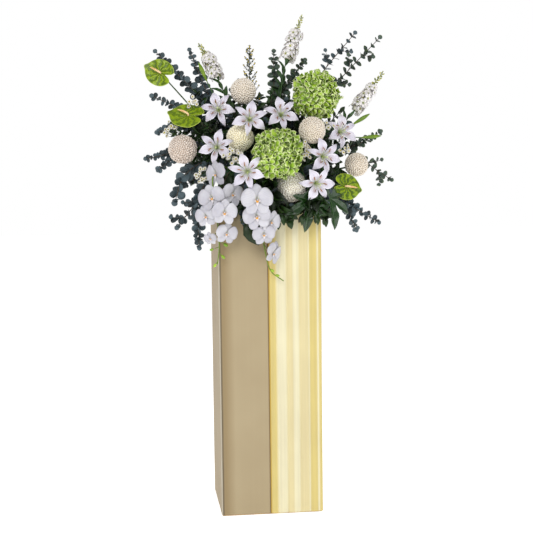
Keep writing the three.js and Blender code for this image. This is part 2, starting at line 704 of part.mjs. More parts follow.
// Leafy green stems of the lilies, each ending under one bloom, with a branch to the next

const LILY_STEMS = [
  { name: 'lily_stem_1', blooms: [0], buds: [vec(-195, -60, 1418)] },
  { name: 'lily_stem_2', blooms: [2, 1], buds: [] },
  { name: 'lily_stem_3', blooms: [4, 3], buds: [] },
  { name: 'lily_stem_4', blooms: [5], buds: [vec(316, -56, 1266), vec(352, -42, 1210)] },
  { name: 'lily_stem_5', blooms: [6, 7], buds: [] },
];

const LILY_STEM = { radius: 3, tipRadius: 2.2, branch: 2, under: 9.6, bow: 14 };
const LILY_BUD = { radii: [1.6, 2, 7.5, 1.6], places: [-30, -6, 26] };

function bloomFoot(index) {
  const { at, face } = LILIES[index];
  const outward = face.clone().normalize();
  return { foot: at.clone().addScaledVector(outward, -LILY.depth - LILY_STEM.under), outward };
}

function lilyBranch(start, { foot, outward }) {
  const lead = start.clone().lerp(foot, 0.45).add(vec(0, 0, 6));
  const tail = foot.clone().addScaledVector(outward, -LILY_STEM.bow);
  const points = new THREE.CubicBezierCurve3(start, lead, tail, foot).getPoints(4);
  return tube(points, points.map(() => LILY_STEM.branch), 3);
}

function lilyBud(start, bud) {
  const out = bud.clone().sub(start).normalize();
  const along = (distance) => bud.clone().addScaledVector(out, distance);
  return tube([start, ...LILY_BUD.places.map(along)], LILY_BUD.radii, 5);
}

function buildLilyStems() {
  for (const { name, blooms, buds } of LILY_STEMS) {
    const { foot, outward } = bloomFoot(blooms[0]);
    const endDirection = vec(outward.x, outward.y, 0.35).normalize();
    const aim = level(foot.clone().addScaledVector(endDirection, -40));
    const route = { aim, end: foot, endDirection, steps: 6 };
    const line = standStem(name, COLOURS.lilyGreen, route, LILY_STEM.radius, LILY_STEM.tipRadius);
    if (!line) continue;
    const fine = line.getSpacedPoints(20);
    for (const next of blooms.slice(1)) {
      const bloom = bloomFoot(next);
      const tries = [12, 9, 6, 14, 4, 16, 2, 18].map((at) => () => lilyBranch(fine[at], bloom));
      if (!fit(name, COLOURS.lilyGreen, tries)) missed.push(`branch of ${name}`);
    }
    for (const bud of buds) {
      const tries = [17, 15, 13, 11, 9, 7, 5, 3].map((at) => () => lilyBud(fine[at], bud));
      if (!fit(name, COLOURS.lilyGreen, tries)) missed.push(`bud of ${name}`);
    }
  }
}

buildLilyStems();

// A place along a stem, with the stem's direction there and one at right angles to it
function station(line, along) {
  const [at, tangent] = [line.getPointAt(along), line.getTangentAt(along)];
  return { at, tangent, side: tangent.clone().cross(vec(0, 1, 0)).normalize() };
}

const TURNS = [0, 25, -25, 50, -50, 80, -80, 120, 180]; // tries for a piece that grows from a stem

// Spikes of white stock: open florets below and green buds at the tip

const STOCKS = [
  { name: 'stock_1', via: [vec(-112, 5, 1330), vec(-140, 12, 1400)], tip: vec(-198, 20, 1512), from: 0.72 },
  { name: 'stock_2', via: [vec(60, 8, 1340), vec(80, 10, 1450)], tip: vec(136, 15, 1603), from: 0.72 },
  { name: 'stock_3', via: [vec(205, 25, 1190), vec(300, 0, 1290)], tip: vec(402, 5, 1420), from: 0.66 },
];
const STOCK = { florets: 6, buds: 4, floretRadius: 18, budRadius: 3.2, firstBud: 24, lastBud: 11 };
const STOCK_FLORET = { lobes: 4, notch: 0.55, cup: 4 };
const STOCK_STEM = { radius: 2.6, tipRadius: 1.1, end: 0.995 };
const SPIRAL = 137.5; // degrees from one floret to the next

function stockFloret(at, out, radius, turn) {
  const shape = floret({ ...STOCK_FLORET, radius, root: radius * 0.55 });
  return move(shape, facing(at.clone().addScaledVector(out, radius * 0.45), out, turn));
}

function buildStocks() {
  for (const { name, via, tip, from } of STOCKS) {
    const route = { aim: via[0], via, end: tip, steps: 7 };
    const line = standStem(name, COLOURS.stock, route, STOCK_STEM.radius, STOCK_STEM.tipRadius);
    if (!line) continue;
    const count = STOCK.florets + STOCK.buds;
    for (let i = 0; i < count; i++) {
      const share = i / (count - 1);
      const { at, tangent, side } = station(line, lerp(from, STOCK_STEM.end, share));
      const isBud = i >= STOCK.florets;
      const budLength = lerp(STOCK.firstBud, STOCK.lastBud, share);
      fit(name, COLOURS.stock, TURNS.map((turn) => () => {
        const around = i * SPIRAL + turn;
        const out = side.clone().applyAxisAngle(tangent, rad(around))
          .addScaledVector(tangent, isBud ? 0.9 : 0.35).normalize();
        return isBud
          ? spindle(at, at.clone().addScaledVector(out, budLength), STOCK.budRadius, 0.6)
          : stockFloret(at, out, STOCK.floretRadius * lerp(1, 0.75, share), around);
      }));
    }
  }
}

buildStocks();

// Eucalyptus: arching stems with round leaves in opposite pairs, each pair turned across the one below

const EUCALYPTUS = [
  { name: 'eucalyptus_1', leaf: 24, from: 0.5, tips: [vec(-337, 30, 1487)], via: [vec(-180, 25, 1320)] },
  { name: 'eucalyptus_2', leaf: 23, from: 0.52, tips: [vec(-228, 45, 1492)], via: [vec(-170, 35, 1350)] },
  {
    name: 'eucalyptus_3', leaf: 26, from: 0.42,
    tips: [vec(-350, 0, 1345), vec(-338, -40, 1232)],
    via: [vec(-200, 0, 1270)],
  },
  {
    name: 'eucalyptus_4', leaf: 23, from: 0.42,
    tips: [vec(-375, -25, 1148), vec(-340, -60, 1112)],
    via: [vec(-230, 5, 1170)],
  },
  {
    name: 'eucalyptus_5', leaf: 35, from: 0.5,
    tips: [vec(-292, -110, 1015)],
    via: [vec(-190, -60, 1135), vec(-262, -85, 1090)],
  },
  {
    name: 'eucalyptus_6', leaf: 24, from: 0.38,
    tips: [vec(-285, -125, 935), vec(-222, -150, 872)],
    via: [vec(-178, -75, 1095), vec(-225, -110, 1010)],
  },
  {
    name: 'eucalyptus_7', leaf: 23, from: 0.5,
    tips: [vec(45, 35, 1486), vec(145, 40, 1460)],
    via: [vec(40, 30, 1300)],
  },
  { name: 'eucalyptus_8', leaf: 21, from: 0.55, tips: [vec(312, 35, 1548)], via: [vec(190, 45, 1400)] },
  { name: 'eucalyptus_9', leaf: 22, from: 0.58, tips: [vec(392, 20, 1532)], via: [vec(240, 50, 1370)] },
  {
    name: 'eucalyptus_10', leaf: 22, from: 0.4,
    tips: [vec(418, -30, 1072), vec(385, -20, 1225)],
    via: [vec(240, 20, 1180)],
  },
  {
    name: 'eucalyptus_11', leaf: 23, from: 0.42,
    tips: [vec(362, -85, 935), vec(285, -115, 915)],
    via: [vec(190, -60, 1090), vec(262, -90, 1000)],
  },
  {
    name: 'eucalyptus_12', leaf: 30, from: 0.6,
    tips: [vec(-80, 215, 1290), vec(110, 205, 1250)],
    via: [vec(0, 110, 1215)],
  },
];
const EUCALYPTUS_STEM = { radius: 2.5, tipRadius: 1.4, twig: [1.8, 1.7, 1.6, 1.5, 1.3] };
const EUCALYPTUS_LEAF = [
  { y: 0, z: 0, w: 0 }, { y: 0.42, z: 0.02, w: 0.31 }, { y: 0.74, z: 0.02, w: 0.42 }, { y: 1, z: 0, w: 0 },
];
const EUCALYPTUS_PITCH = 46; // along the stem, from one pair to the next
const EUCALYPTUS_LEAN = 0.65; // along the stem for each step away from it
const TWIG_FROM = 0.25; // where the leaves of a side twig start
const EUCALYPTUS_TURNS = [0, 20, -20, 45, -45, 90].flatMap((extra) => [[extra, 1], [extra, 0.8]]);

function roundLeaf(size) {
  return blade(EUCALYPTUS_LEAF.map(({ y, z, w }) => ({ y: y * size, z: z * size, w: w * size })));
}

function leafedLine(name, line, from, leaf, seed) {
  const draw = random(seed);
  const front = vec(0, line.getPointAt(1).y > 150 ? 1 : -1, 0.2);
  const count = Math.max(2, Math.round((line.getLength() * (1 - from)) / EUCALYPTUS_PITCH));
  for (let i = 0; i < count; i++) {
    const { at, tangent, side } = station(line, from + ((1 - from) * (i + 0.6)) / count);
    const face = tangent.clone().addScaledVector(front, 1.2);
    const size = leaf * lerp(1, 0.6, (i / count) ** 2) * (0.9 + 0.2 * draw());
    const turn = (i % 2 ? 38 : -12) + 20 * (draw() - 0.5);
    for (const opposite of [0, 180]) {
      fit(name, COLOURS.eucalyptus, EUCALYPTUS_TURNS.map(([extra, scale]) => () => {
        const along = side.clone().applyAxisAngle(tangent, rad(turn + opposite + extra))
          .addScaledVector(tangent, EUCALYPTUS_LEAN);
        return move(roundLeaf(size * scale), frame(at, along, face));
      }));
    }
  }
  const { at, tangent } = station(line, 0.985);
  fit(name, COLOURS.eucalyptus, [() => move(roundLeaf(leaf * 0.7), frame(at, tangent, front))]);
}

function buildEucalyptus() {
  EUCALYPTUS.forEach((spray, number) => {
    const { name, tips, via } = spray;
    const { radius, tipRadius, twig: twigRadii } = EUCALYPTUS_STEM;
    const route = { aim: level(via[0]), via, end: tips[0], steps: 6, sides: 4 };
    const line = standStem(name, COLOURS.eucalyptus, route, radius, tipRadius);
    if (!line) return;
    spray.lines = [line];
    spray.seed = 40 + number;
    for (const tip of tips.slice(1)) {
      let twig;
      const tries = [0.45, 0.35, 0.55, 0.25, 0.65].map((along) => () => {
        const { at, tangent } = station(line, along);
        const lead = at.clone().addScaledVector(tangent, at.distanceTo(tip) * 0.35);
        const points = new THREE.QuadraticBezierCurve3(at, lead, tip).getPoints(twigRadii.length - 1);
        twig = pathOf(points);
        return tube(points, twigRadii, 4);
      });
      if (fit(name, COLOURS.eucalyptus, tries)) spray.lines.push(twig);
      else missed.push(`twig of ${name}`);
    }
  });
}

buildEucalyptus();

// Broad dark leaves that hang over the plinth's rim and close the back

const LEAVES = [
  { name: 'fatsia_leaves_1', blades: [
    { at: vec(130, -158, 1000), along: vec(-0.12, -0.3, -0.95), size: 92 },
    { at: vec(20, -112, 1085), along: vec(0.1, -0.4, -0.9), size: 88 },
  ] },
  { name: 'fatsia_leaves_2', blades: [
    { at: vec(186, -128, 1012), along: vec(0.35, -0.4, -0.85), size: 92 },
    { at: vec(200, -60, 1090), along: vec(0.8, -0.4, -0.5), size: 86 },
  ] },
  { name: 'fatsia_leaves_3', blades: [
    { at: vec(-98, -112, 1068), along: vec(0, -0.3, -0.95), size: 90 },
    { at: vec(-82, -158, 1000), along: vec(0.05, -0.4, -0.9), size: 84 },
  ] },
  { name: 'fatsia_leaves_4', blades: [
    { at: vec(-60, 120, 1120), along: vec(-0.1, 0.5, -0.9), size: 105 },
    { at: vec(-165, 60, 1120), along: vec(-0.75, 0.3, -0.6), size: 95 },
  ] },
  { name: 'fatsia_leaves_5', blades: [
    { at: vec(70, 122, 1112), along: vec(0.15, 0.5, -0.9), size: 105 },
    { at: vec(165, 70, 1105), along: vec(0.75, 0.3, -0.6), size: 95 },
  ] },
];
const FATSIA = { front: 0.6, back: -1.2, notch: { r: 16, z: -1 }, thickness: 1.6, droop: 0.14 };
const LEAF_STEM = { radius: 2, fork: [1.8, 1.8, 1.6] };
const LEAF_PUSHES = [0, 10, 20, -8].flatMap((out) => (
  [0, 14, -14, 28].flatMap((side) => [0, -14, 14].map((rise) => [side, out, rise]))
));
const FATSIA_LOBES = [[-115, 0.72], [-58, 0.9], [0, 1], [58, 0.9], [115, 0.72]]; // angle and reach

// A palm-shaped leaf on +Z whose lobes reach along +Y and to its sides, drooping towards their tips
function fatsiaLeaf(size) {
  const lobes = FATSIA_LOBES.map(([angle, reach]) => {
    const length = reach * size;
    const middle = 0.58 * length;
    return { angle, stations: [
      { y: middle, z: (-FATSIA.droop * middle * middle) / size, w: 0.19 * length, lift: 1.5 },
      { y: length, z: (-FATSIA.droop * length * length) / size },
    ] };
  });
  return star(lobes, FATSIA);
}

// Fits a blade near its place, turned or pushed out until it is clear, and returns where its base is
function fitLeaf(name, { at, along, size }) {
  const front = Math.sign(at.y);
  const outward = vec(at.x * 0.003, front, 0.35);
  const axis = along.clone().normalize();
  const places = [1, 0.88, 0.76].flatMap((scale) => (
    TURNS.slice(0, 5).flatMap((turn) => LEAF_PUSHES.map((push) => ({ scale, turn, push })))
  ));
  let base;
  const tries = places.map(({ scale, turn, push: [sideways, out, rise] }) => () => {
    const face = outward.clone().applyAxisAngle(axis, rad(turn));
    base = at.clone().add(vec(sideways, front * out, rise));
    return move(fatsiaLeaf(size * scale), frame(base, along, face));
  });
  return fit(name, COLOURS.leaf, tries) && base;
}

function leafFork(line, from, other, rise) {
  const start = line.getPointAt(from);
  const bow = start.clone().lerp(other, 0.5).add(vec(0, Math.sign(other.y) * 8, rise));
  return tube([start, bow, other], LEAF_STEM.fork, 3);
}

function buildLeaves() {
  for (const { name, blades } of LEAVES) {
    const [end, other] = blades.map((leaf) => fitLeaf(name, leaf)).filter(Boolean);
    const aim = end && level(vec(end.x * 0.8, end.y * 0.75, 1150));
    const endDirection = blades[0].along.clone().normalize();
    const line = end && standStem(name, COLOURS.leaf, { aim, end, endDirection, steps: 4 }, LEAF_STEM.radius);
    if (!line || !other) continue;
    const tries = [0.5, 0.35, 0.65, 0.2, 0.8, 0.95].flatMap((from) => (
      [14, 0, 28].map((rise) => () => leafFork(line, from, other, rise))
    ));
    if (!fit(name, COLOURS.leaf, tries)) missed.push(`fork of ${name}`);
  }
}

buildLeaves();

// Sprays of small daisies and a feathery filler between the large blooms

const DAISIES = [
  {
    name: 'daisy_spray_1', fork: 0.4,
    heads: [vec(-112, -182, 1162), vec(-128, -188, 1146), vec(-106, -190, 1142), vec(-216, -142, 1098)],
  },
  {
    name: 'daisy_spray_2',
    heads: [
      vec(110, -178, 1184), vec(124, -172, 1166), vec(108, -184, 1152), vec(200, -118, 1242),
      vec(248, -135, 1172),
    ],
  },
  { name: 'daisy_spray_3', heads: [vec(-300, -68, 1250), vec(-310, -62, 1232), vec(-226, -70, 1326)] },
];
const DAISY = { lobes: 5, radius: 11, notch: 0.55, cup: 1, root: 4, centre: 3 };
const DAISY_STEM = { radius: 2, tipRadius: 1.6, twig: [1.2, 1] };
const DAISY_SHIFTS = [0, 8, -8, 16, -16].flatMap((x) => [0, 10, -12].map((y) => vec(x, y, 0)));

function daisyHead(start, head, face) {
  const foot = head.clone().addScaledVector(face, -1);
  return tube([start, foot], DAISY_STEM.twig, 3).add(move(floret(DAISY), facing(head, face)));
}

function buildDaisies() {
  for (const { name, heads, fork = 0.35 } of DAISIES) {
    const middle = heads.reduce((sum, p) => sum.add(p), vec(0, 0, 0)).divideScalar(heads.length);
    const end = middle.clone().lerp(vec(ROOT.x, ROOT.y, ROOT.z), fork);
    const endDirection = vec(middle.x / 300, middle.y / 200, 0.4).normalize();
    const route = { aim: level(end), end, endDirection, steps: 4 };
    const line = standStem(name, COLOURS.daisy, route, DAISY_STEM.radius, DAISY_STEM.tipRadius);
    if (!line) continue;
    for (const at of heads) {
      const face = vec(at.x / 400, -1, 0.3).normalize();
      fit(name, COLOURS.daisy, [0.98, 0.8, 0.6, 0.4].flatMap((from) => (
        DAISY_SHIFTS.map((shift) => () => daisyHead(line.getPointAt(from), at.clone().add(shift), face))
      )));
    }
  }
}

const FILLER = {
  name: 'filler_spray', via: [vec(-32, 25, 1280), vec(-36, 30, 1400)], tip: vec(-34, 40, 1502),
  twigs: 11, firstTwig: 46, lastTwig: 14, twigRadius: 2.2, from: 0.55, to: 0.97,
};

function buildFiller() {
  const { name, via, tip, twigs, firstTwig, lastTwig, twigRadius, from, to } = FILLER;
  const line = standStem(name, COLOURS.filler, { aim: via[0], via, end: tip, steps: 5 }, 2.2, 1);
  if (!line) return;
  for (let i = 0; i < twigs; i++) {
    const share = i / (twigs - 1);
    const { at, tangent, side } = station(line, lerp(from, to, share));
    const reach = lerp(firstTwig, lastTwig, share);
    fit(name, COLOURS.filler, TURNS.map((turn) => () => {
      const out = side.clone().applyAxisAngle(tangent, rad(i * SPIRAL + turn))
        .addScaledVector(tangent, 1.1).normalize();
      return spindle(at, at.clone().addScaledVector(out, reach), twigRadius, 0.75);
    }));
  }
}

buildDaisies();
buildFiller();

// The leaves come last, so that they bend clear of what is there

function buildFoliage() {
  for (const { name, lines = [], leaf, from, seed } of EUCALYPTUS) {
    lines.forEach((line, i) => leafedLine(name, line, i ? TWIG_FROM : from, leaf, seed + 100 * i));
  }
}

buildFoliage();

// Holes for the stems, and one joined solid for each node

const foam = nodes.get('floral_foam');
foam.pieces = [{ solid: foamBlock().subtract(Manifold.union(holes)) }];

const SHORTEST_EDGE = 0.002;
const NUDGE = 0.01;
const SMOOTHING = 0.05;

function shortestEdge(solid) {
  const { vertProperties: v, triVerts: t } = solid.getMesh();
  let shortest = Infinity;
  for (let i = 0; i < t.length; i++) {
    const [a, b] = [3 * t[i], 3 * t[i % 3 === 2 ? i - 2 : i + 1]];
    shortest = Math.min(shortest, Math.hypot(v[a] - v[b], v[a + 1] - v[b + 1], v[a + 2] - v[b + 2]));
  }
  return shortest;
}

// Joins pieces. Where two surfaces cross in a sliver, every other piece is nudged a hair and joined again.
function joinedBody(solids) {
  let body;
  for (let nudge = 0; nudge < 8; nudge++) {
    const moved = solids.map((solid, i) => solid.translate([0, 0, (i % 2) * nudge * NUDGE]));
    body = Manifold.union(moved).asOriginal().simplify(SMOOTHING);
    if (shortestEdge(body) > SHORTEST_EDGE) break;
  }
  return body;
}

const group = new THREE.Group();
group.name = 'standing_funeral_spray';
for (const [name, { colour, pieces }] of nodes) {
  const joined = joinedBody(pieces.map(({ solid }) => solid));
  const bodies = joined.decompose().sort((a, b) => b.volume() - a.volume());
  if (bodies.length > 1) missed.push(`${name} drops ${bodies.length - 1} loose pieces`);
  const { vertProperties, triVerts } = bodies[0].getMesh();
  const geometry = new THREE.BufferGeometry();
  geometry.setAttribute('position', new THREE.BufferAttribute(new Float32Array(vertProperties), 3));
  geometry.setIndex(new THREE.BufferAttribute(new Uint32Array(triVerts), 1));
  const material = new THREE.MeshStandardMaterial({ color: colour, roughness: 0.7, metalness: 0 });
  const mesh = new THREE.Mesh(geometry, material);
  mesh.name = name;
  group.add(mesh);
}
if (missed.length) console.warn(`Not clear: ${missed.join('; ')}`);
if (crowded.length) console.warn(`Left out to stay clear: ${crowded.join('; ')}`);

export default group;
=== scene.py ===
import math
import random

import bmesh
import bpy
from mathutils import Matrix, Quaternion, Vector
from mathutils.geometry import interpolate_bezier


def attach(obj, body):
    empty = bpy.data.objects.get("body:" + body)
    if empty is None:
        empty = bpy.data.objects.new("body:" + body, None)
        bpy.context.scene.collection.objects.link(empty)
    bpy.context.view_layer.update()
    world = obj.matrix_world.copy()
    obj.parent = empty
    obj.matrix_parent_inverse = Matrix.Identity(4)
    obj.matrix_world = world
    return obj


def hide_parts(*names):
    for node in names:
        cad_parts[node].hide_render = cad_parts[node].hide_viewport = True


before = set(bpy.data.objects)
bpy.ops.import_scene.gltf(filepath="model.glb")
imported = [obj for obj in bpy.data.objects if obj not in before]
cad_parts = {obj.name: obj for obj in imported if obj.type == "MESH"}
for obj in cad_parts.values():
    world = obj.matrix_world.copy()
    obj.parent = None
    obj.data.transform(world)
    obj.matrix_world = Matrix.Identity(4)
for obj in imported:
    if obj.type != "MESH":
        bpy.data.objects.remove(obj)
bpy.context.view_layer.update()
mm = 0.001
upward = Vector((0, 0, 1))
rootPoint = Vector((0, 10, 1062)) * mm  # where the lines of all the stems meet
goldenTurn = 137.5  # degrees from one floret or twig to the next
goldenShare = 0.618  # and the share of a whole width from one spray to the next
print("loaded", len(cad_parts), "nodes")


# Camera, floor and light

view = {
    "azimuth": -7.0113, "elevation": 5.1898, "roll": -0.6962,  # degrees, fitted to the plinth's edges
    "distance": 3.7216, "target": (0.0083, 0.0, 0.7884), "lens": 76.135,
}


def placeCamera():
    azimuth, elevation, roll = (math.radians(view[k]) for k in ("azimuth", "elevation", "roll"))
    back = Vector((math.sin(azimuth) * math.cos(elevation), -math.cos(azimuth) * math.cos(elevation),
                   math.sin(elevation)))
    right = upward.cross(back).normalized()
    top = back.cross(right)
    turn = Matrix((right, top, back)).transposed() @ Matrix.Rotation(roll, 3, "Z")
    bpy.ops.object.camera_add(location=Vector(view["target"]) + back * view["distance"],
                              rotation=turn.to_euler())
    camera = bpy.context.object
    camera.name = "viewCamera"
    camera.data.lens = view["lens"]
    camera.data.sensor_width = 36
    bpy.context.scene.camera = camera


studio = {
    "backdrop": 1.0, "world": 0.44, "floor": (0.95, 0.95, 0.95), "floorGlow": 0.62,
    "key": {"place": (-1.5, -3.4, 3.2), "size": 2.0, "power": 80},
    "fill": {"place": (2.4, -3.0, 0.8), "size": 2.6, "power": 34},
    "rim": {"place": (0.6, 2.6, 3.2), "size": 2.0, "power": 40},
}


def placeStudio():
    for name in ("key", "fill", "rim"):
        place = Vector(studio[name]["place"])
        aim = (Vector((0, 0, 1.0)) - place).to_track_quat("-Z", "Y")
        bpy.ops.object.light_add(type="AREA", location=place, rotation=aim.to_euler())
        lamp = bpy.context.object
        lamp.name = name + "Light"
        lamp.data.size = studio[name]["size"]
        lamp.data.energy = studio[name]["power"]
    world = bpy.data.worlds.new("studioWorld")
    world.use_nodes = True
    tree = world.node_tree
    seen = tree.nodes.new("ShaderNodeLightPath").outputs["Is Camera Ray"]
    glow = putNode(tree, "MapRange", {"Value": seen, "To Min": studio["world"], "To Max": studio["backdrop"]})
    tree.nodes["Background"].inputs["Color"].default_value = (1, 1, 1, 1)
    tree.links.new(glow.outputs[0], tree.nodes["Background"].inputs["Strength"])
    bpy.context.scene.world = world
    bpy.context.scene.view_settings.view_transform = "Standard"
    bpy.ops.mesh.primitive_plane_add(size=30, location=(0, 0, 0))
    floor = bpy.context.object
    floor.name = "studioFloor"
    finish, tree, shader = newFinish("palePaint", Base_Color=(*studio["floor"], 1), Roughness=0.9,
                                     Emission_Color=(1, 1, 1, 1), Emission_Strength=studio["floorGlow"])
    floor.data.materials.append(finish)


# Ways of working that the pieces share

def clearSelection():
    if bpy.context.object and bpy.context.object.mode != "OBJECT":
        bpy.ops.object.mode_set(mode="OBJECT")
    bpy.ops.object.select_all(action="DESELECT")


def choose(*pieces):
    clearSelection()
    for piece in pieces:
        piece.select_set(True)
    bpy.context.view_layer.objects.active = pieces[0]


def pickVertices(piece, wanted):  # selects by number, in edit mode
    mesh = bmesh.from_edit_mesh(piece.data)
    for vertex in mesh.verts:
        vertex.select_set(wanted(vertex.index))
    mesh.select_flush(True)
    bmesh.update_edit_mesh(piece.data)


def applyModifiers(piece):
    choose(piece)
    for modifier in list(piece.modifiers):
        bpy.ops.object.modifier_apply(modifier=modifier.name)


def thicken(piece, thickness, rounds=0):  # a sheet becomes a thin closed shell, smoothed first
    if rounds:
        smooth = piece.modifiers.new("smooth", "SUBSURF")
        smooth.levels = smooth.render_levels = rounds
    shell = piece.modifiers.new("shell", "SOLIDIFY")
    shell.thickness = thickness
    shell.offset = 0
    applyModifiers(piece)
    bpy.ops.object.shade_smooth()


def sheetFromRows(name, rows, profile, thickness, rounds=0, ripple=0.0):
    # A grid across and along +Y: each column takes its lift from the profile, then each row its place and width
    across, along = len(profile), len(rows)
    clearSelection()
    bpy.ops.mesh.primitive_grid_add(x_subdivisions=across - 1, y_subdivisions=along - 1, size=2)
    sheet = bpy.context.object
    sheet.name = name
    bpy.ops.object.mode_set(mode="EDIT")
    for column, lift in enumerate(profile):
        pickVertices(sheet, lambda i: i % across == column)
        bpy.ops.transform.translate(value=(0, 0, lift))
    for row, (out, rise, halfWidth, cup) in enumerate(rows):
        middle = 2 * row / (along - 1) - 1
        pickVertices(sheet, lambda i: i // across == row)
        bpy.ops.transform.resize(value=(halfWidth, 1, cup), center_override=(0, middle, 0))
        bpy.ops.transform.translate(value=(0, out - middle, rise))
    if ripple:
        for turn, lift in ((0, ripple), (1, -ripple)):
            pickVertices(sheet, lambda i: i % across in (0, across - 1) and 0 < i // across < along - 1
                         and (i // across + i % across) % 2 == turn)
            bpy.ops.transform.translate(value=(0, 0, lift))
    bpy.ops.object.mode_set(mode="OBJECT")
    thicken(sheet, thickness, rounds)
    return sheet


def sheetFromForm(name, across, along, form, thickness, chart=None):
    # A grid whose vertices go where the form puts them, for shares -1 to 1 across and 0 to 1 along
    clearSelection()
    bpy.ops.mesh.primitive_grid_add(x_subdivisions=across, y_subdivisions=along, size=2)
    sheet = bpy.context.object
    sheet.name = name
    shares = [(v.co.x, (v.co.y + 1) / 2) for v in sheet.data.vertices]
    if chart:
        for loop, spot in zip(sheet.data.loops, sheet.data.uv_layers[0].data):
            spot.uv = chart(*shares[loop.vertex_index])
    for vertex, share in zip(sheet.data.vertices, shares):
        vertex.co = form(*share)
    bpy.ops.object.mode_set(mode="EDIT")
    bpy.ops.mesh.select_all(action="SELECT")
    bpy.ops.mesh.remove_doubles(threshold=0.00002)
    bpy.ops.object.mode_set(mode="OBJECT")
    thicken(sheet, thickness, 0)
    return sheet


def bead(name, size, place=(0, 0, 0), segments=10, rings=7):
    clearSelection()
    bpy.ops.mesh.primitive_uv_sphere_add(segments=segments, ring_count=rings, radius=1, location=(0, 0, 0))
    piece = bpy.context.object
    piece.name = name
    piece.data.transform(Matrix.Translation(place) @ Matrix.Diagonal((*size, 1)))
    bpy.ops.object.shade_smooth()
    return piece


def tubeThrough(name, points, radii, roundness=1):
    clearSelection()
    bpy.ops.curve.primitive_nurbs_path_add()
    path = bpy.context.object
    path.name = name
    path.data.splines.clear()
    line = path.data.splines.new("POLY")
    line.points.add(len(points) - 1)
    for knot, place, radius in zip(line.points, points, radii):
        knot.co = (*place, 1)
        knot.radius = radius
    path.data.dimensions = "3D"
    path.data.bevel_depth = 1
    path.data.bevel_resolution = roundness
    path.data.use_fill_caps = True
    bpy.ops.object.convert(target="MESH")
    tube = bpy.context.object
    bpy.ops.object.mode_set(mode="EDIT")
    bpy.ops.mesh.select_all(action="SELECT")
    bpy.ops.mesh.remove_doubles(threshold=0.00002)
    bpy.ops.mesh.normals_make_consistent(inside=False)
    bpy.ops.object.mode_set(mode="OBJECT")
    bpy.ops.object.shade_smooth()
    return tube


def taper(thick, thin, count):
    return [thick + (thin - thick) * i / (count - 1) for i in range(count)]


def stalk(name, path, radii, roundness=1):  # a tube that thins towards its tip, with both radii in mm
    return tubeThrough(name, path, taper(radii[0] * mm, radii[1] * mm, len(path)), roundness)


def inMetres(places):
    return [Vector(place) * mm for place in places]


def lengthOf(path):
    return sum((b - a).length for a, b in zip(path, path[1:]))


def turned(degrees, axis="Z"):
    return Matrix.Rotation(math.radians(degrees), 4, axis)


def jitter(draw, reach):
    return Vector([draw.uniform(-reach, reach) for _ in range(3)])


def spiralOut(way, number):  # the way out from a stem for its floret or twig of that number
    return Quaternion(way, math.radians(goldenTurn * number)) @ way.orthogonal().normalized()


def smoothPath(points, steps):  # steps between each two points, along one smooth line
    points = [Vector(p) for p in points]
    bends = []
    for i, point in enumerate(points):
        before, after = points[max(i - 1, 0)], points[min(i + 1, len(points) - 1)]
        bends.append((after - before).normalized())
    path = [points[0]]
    for a, b, bendA, bendB in zip(points, points[1:], bends, bends[1:]):
        reach = (b - a).length / 3
        path += interpolate_bezier(a, a + bendA * reach, b - bendB * reach, b, steps + 1)[1:]
    return path


def walk(path, spacing, start=0.0, end=1.0):  # places and directions along a path, between two shares of it
    lengths = [(b - a).length for a, b in zip(path, path[1:])]
    total = sum(lengths)
    count = max(1, round(total * (end - start) / spacing))
    stops = []
    for n in range(count + 1):
        left = total * (start + (end - start) * n / count)
        for a, b, length in zip(path, path[1:], lengths):
            if left <= length or b is path[-1]:
                stops.append((a.lerp(b, min(left / length, 1)), (b - a).normalized(), n / count))
                break
            left -= length
    return stops


def facing(place, face, roll=0.0, size=1.0):  # +Z looks along the face, +Y is up, rolled clockwise
    z = Vector(face).normalized()
    y = (upward - z * z.z).normalized()
    y.rotate(Quaternion(z, -math.radians(roll)))
    turn = Matrix((y.cross(z), y, z)).transposed().to_4x4()
    return Matrix.Translation(place) @ turn @ Matrix.Scale(size, 4)


def growing(place, along, face, size=1.0):  # +Y grows along, +Z is as near the face as it can be
    y = Vector(along).normalized()
    z = Vector(face) - y * y.dot(Vector(face))
    if z.length < 0.001:
        z = upward - y * y.z + Vector((0.01, 0, 0))
    z.normalize()
    turn = Matrix((y.cross(z), y, z)).transposed().to_4x4()
    return Matrix.Translation(place) @ turn @ Matrix.Scale(size, 4)


def setTone(piece, tone):  # a share from dark to light that the materials read
    layer = piece.data.attributes.get("tone") or piece.data.attributes.new("tone", "FLOAT", "POINT")
    layer.data.foreach_set("value", [tone] * len(piece.data.vertices))


def copyTo(pattern, matrix, tone=0.5):  # a copy waits outside the scene until it is joined
    twin = pattern.copy()
    twin.data = pattern.data.copy()
    twin.data.transform(matrix)
    if tone is not None:  # or else it keeps the pattern's own tones
        setTone(twin, tone)
    return twin


def joinPieces(name, pieces):
    for piece in pieces:
        if not piece.users_collection:
            bpy.context.collection.objects.link(piece)
    choose(*pieces)
    if len(pieces) > 1:
        bpy.ops.object.join()
    whole = bpy.context.view_layer.objects.active
    whole.name = name
    whole.data.name = name
    return whole


def discard(*patterns):
    for pattern in patterns:
        bpy.data.objects.remove(pattern)


def paint(piece, finish):
    piece.data.materials.clear()
    piece.data.materials.append(finish)
    return piece


def settle(piece, slotName, *nodes):  # the piece rides on the stand and shows in place of its nodes
    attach(piece, "root")
    if nodes:
        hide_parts(*nodes)


def dress(name, parts, finish, slotName, *nodes):  # the parts become one painted piece
    settle(paint(joinPieces(name, parts), finish), slotName, *nodes)


def ballPoints(count):  # an even cover of a ball, from its crown down
    golden = math.pi * (3 - math.sqrt(5))
    points = []
    for i in range(count):
        z = 1 - (2 * i + 1) / count
        r = math.sqrt(1 - z * z)
        points.append(Vector((r * math.cos(i * golden), r * math.sin(i * golden), z)))
    return points


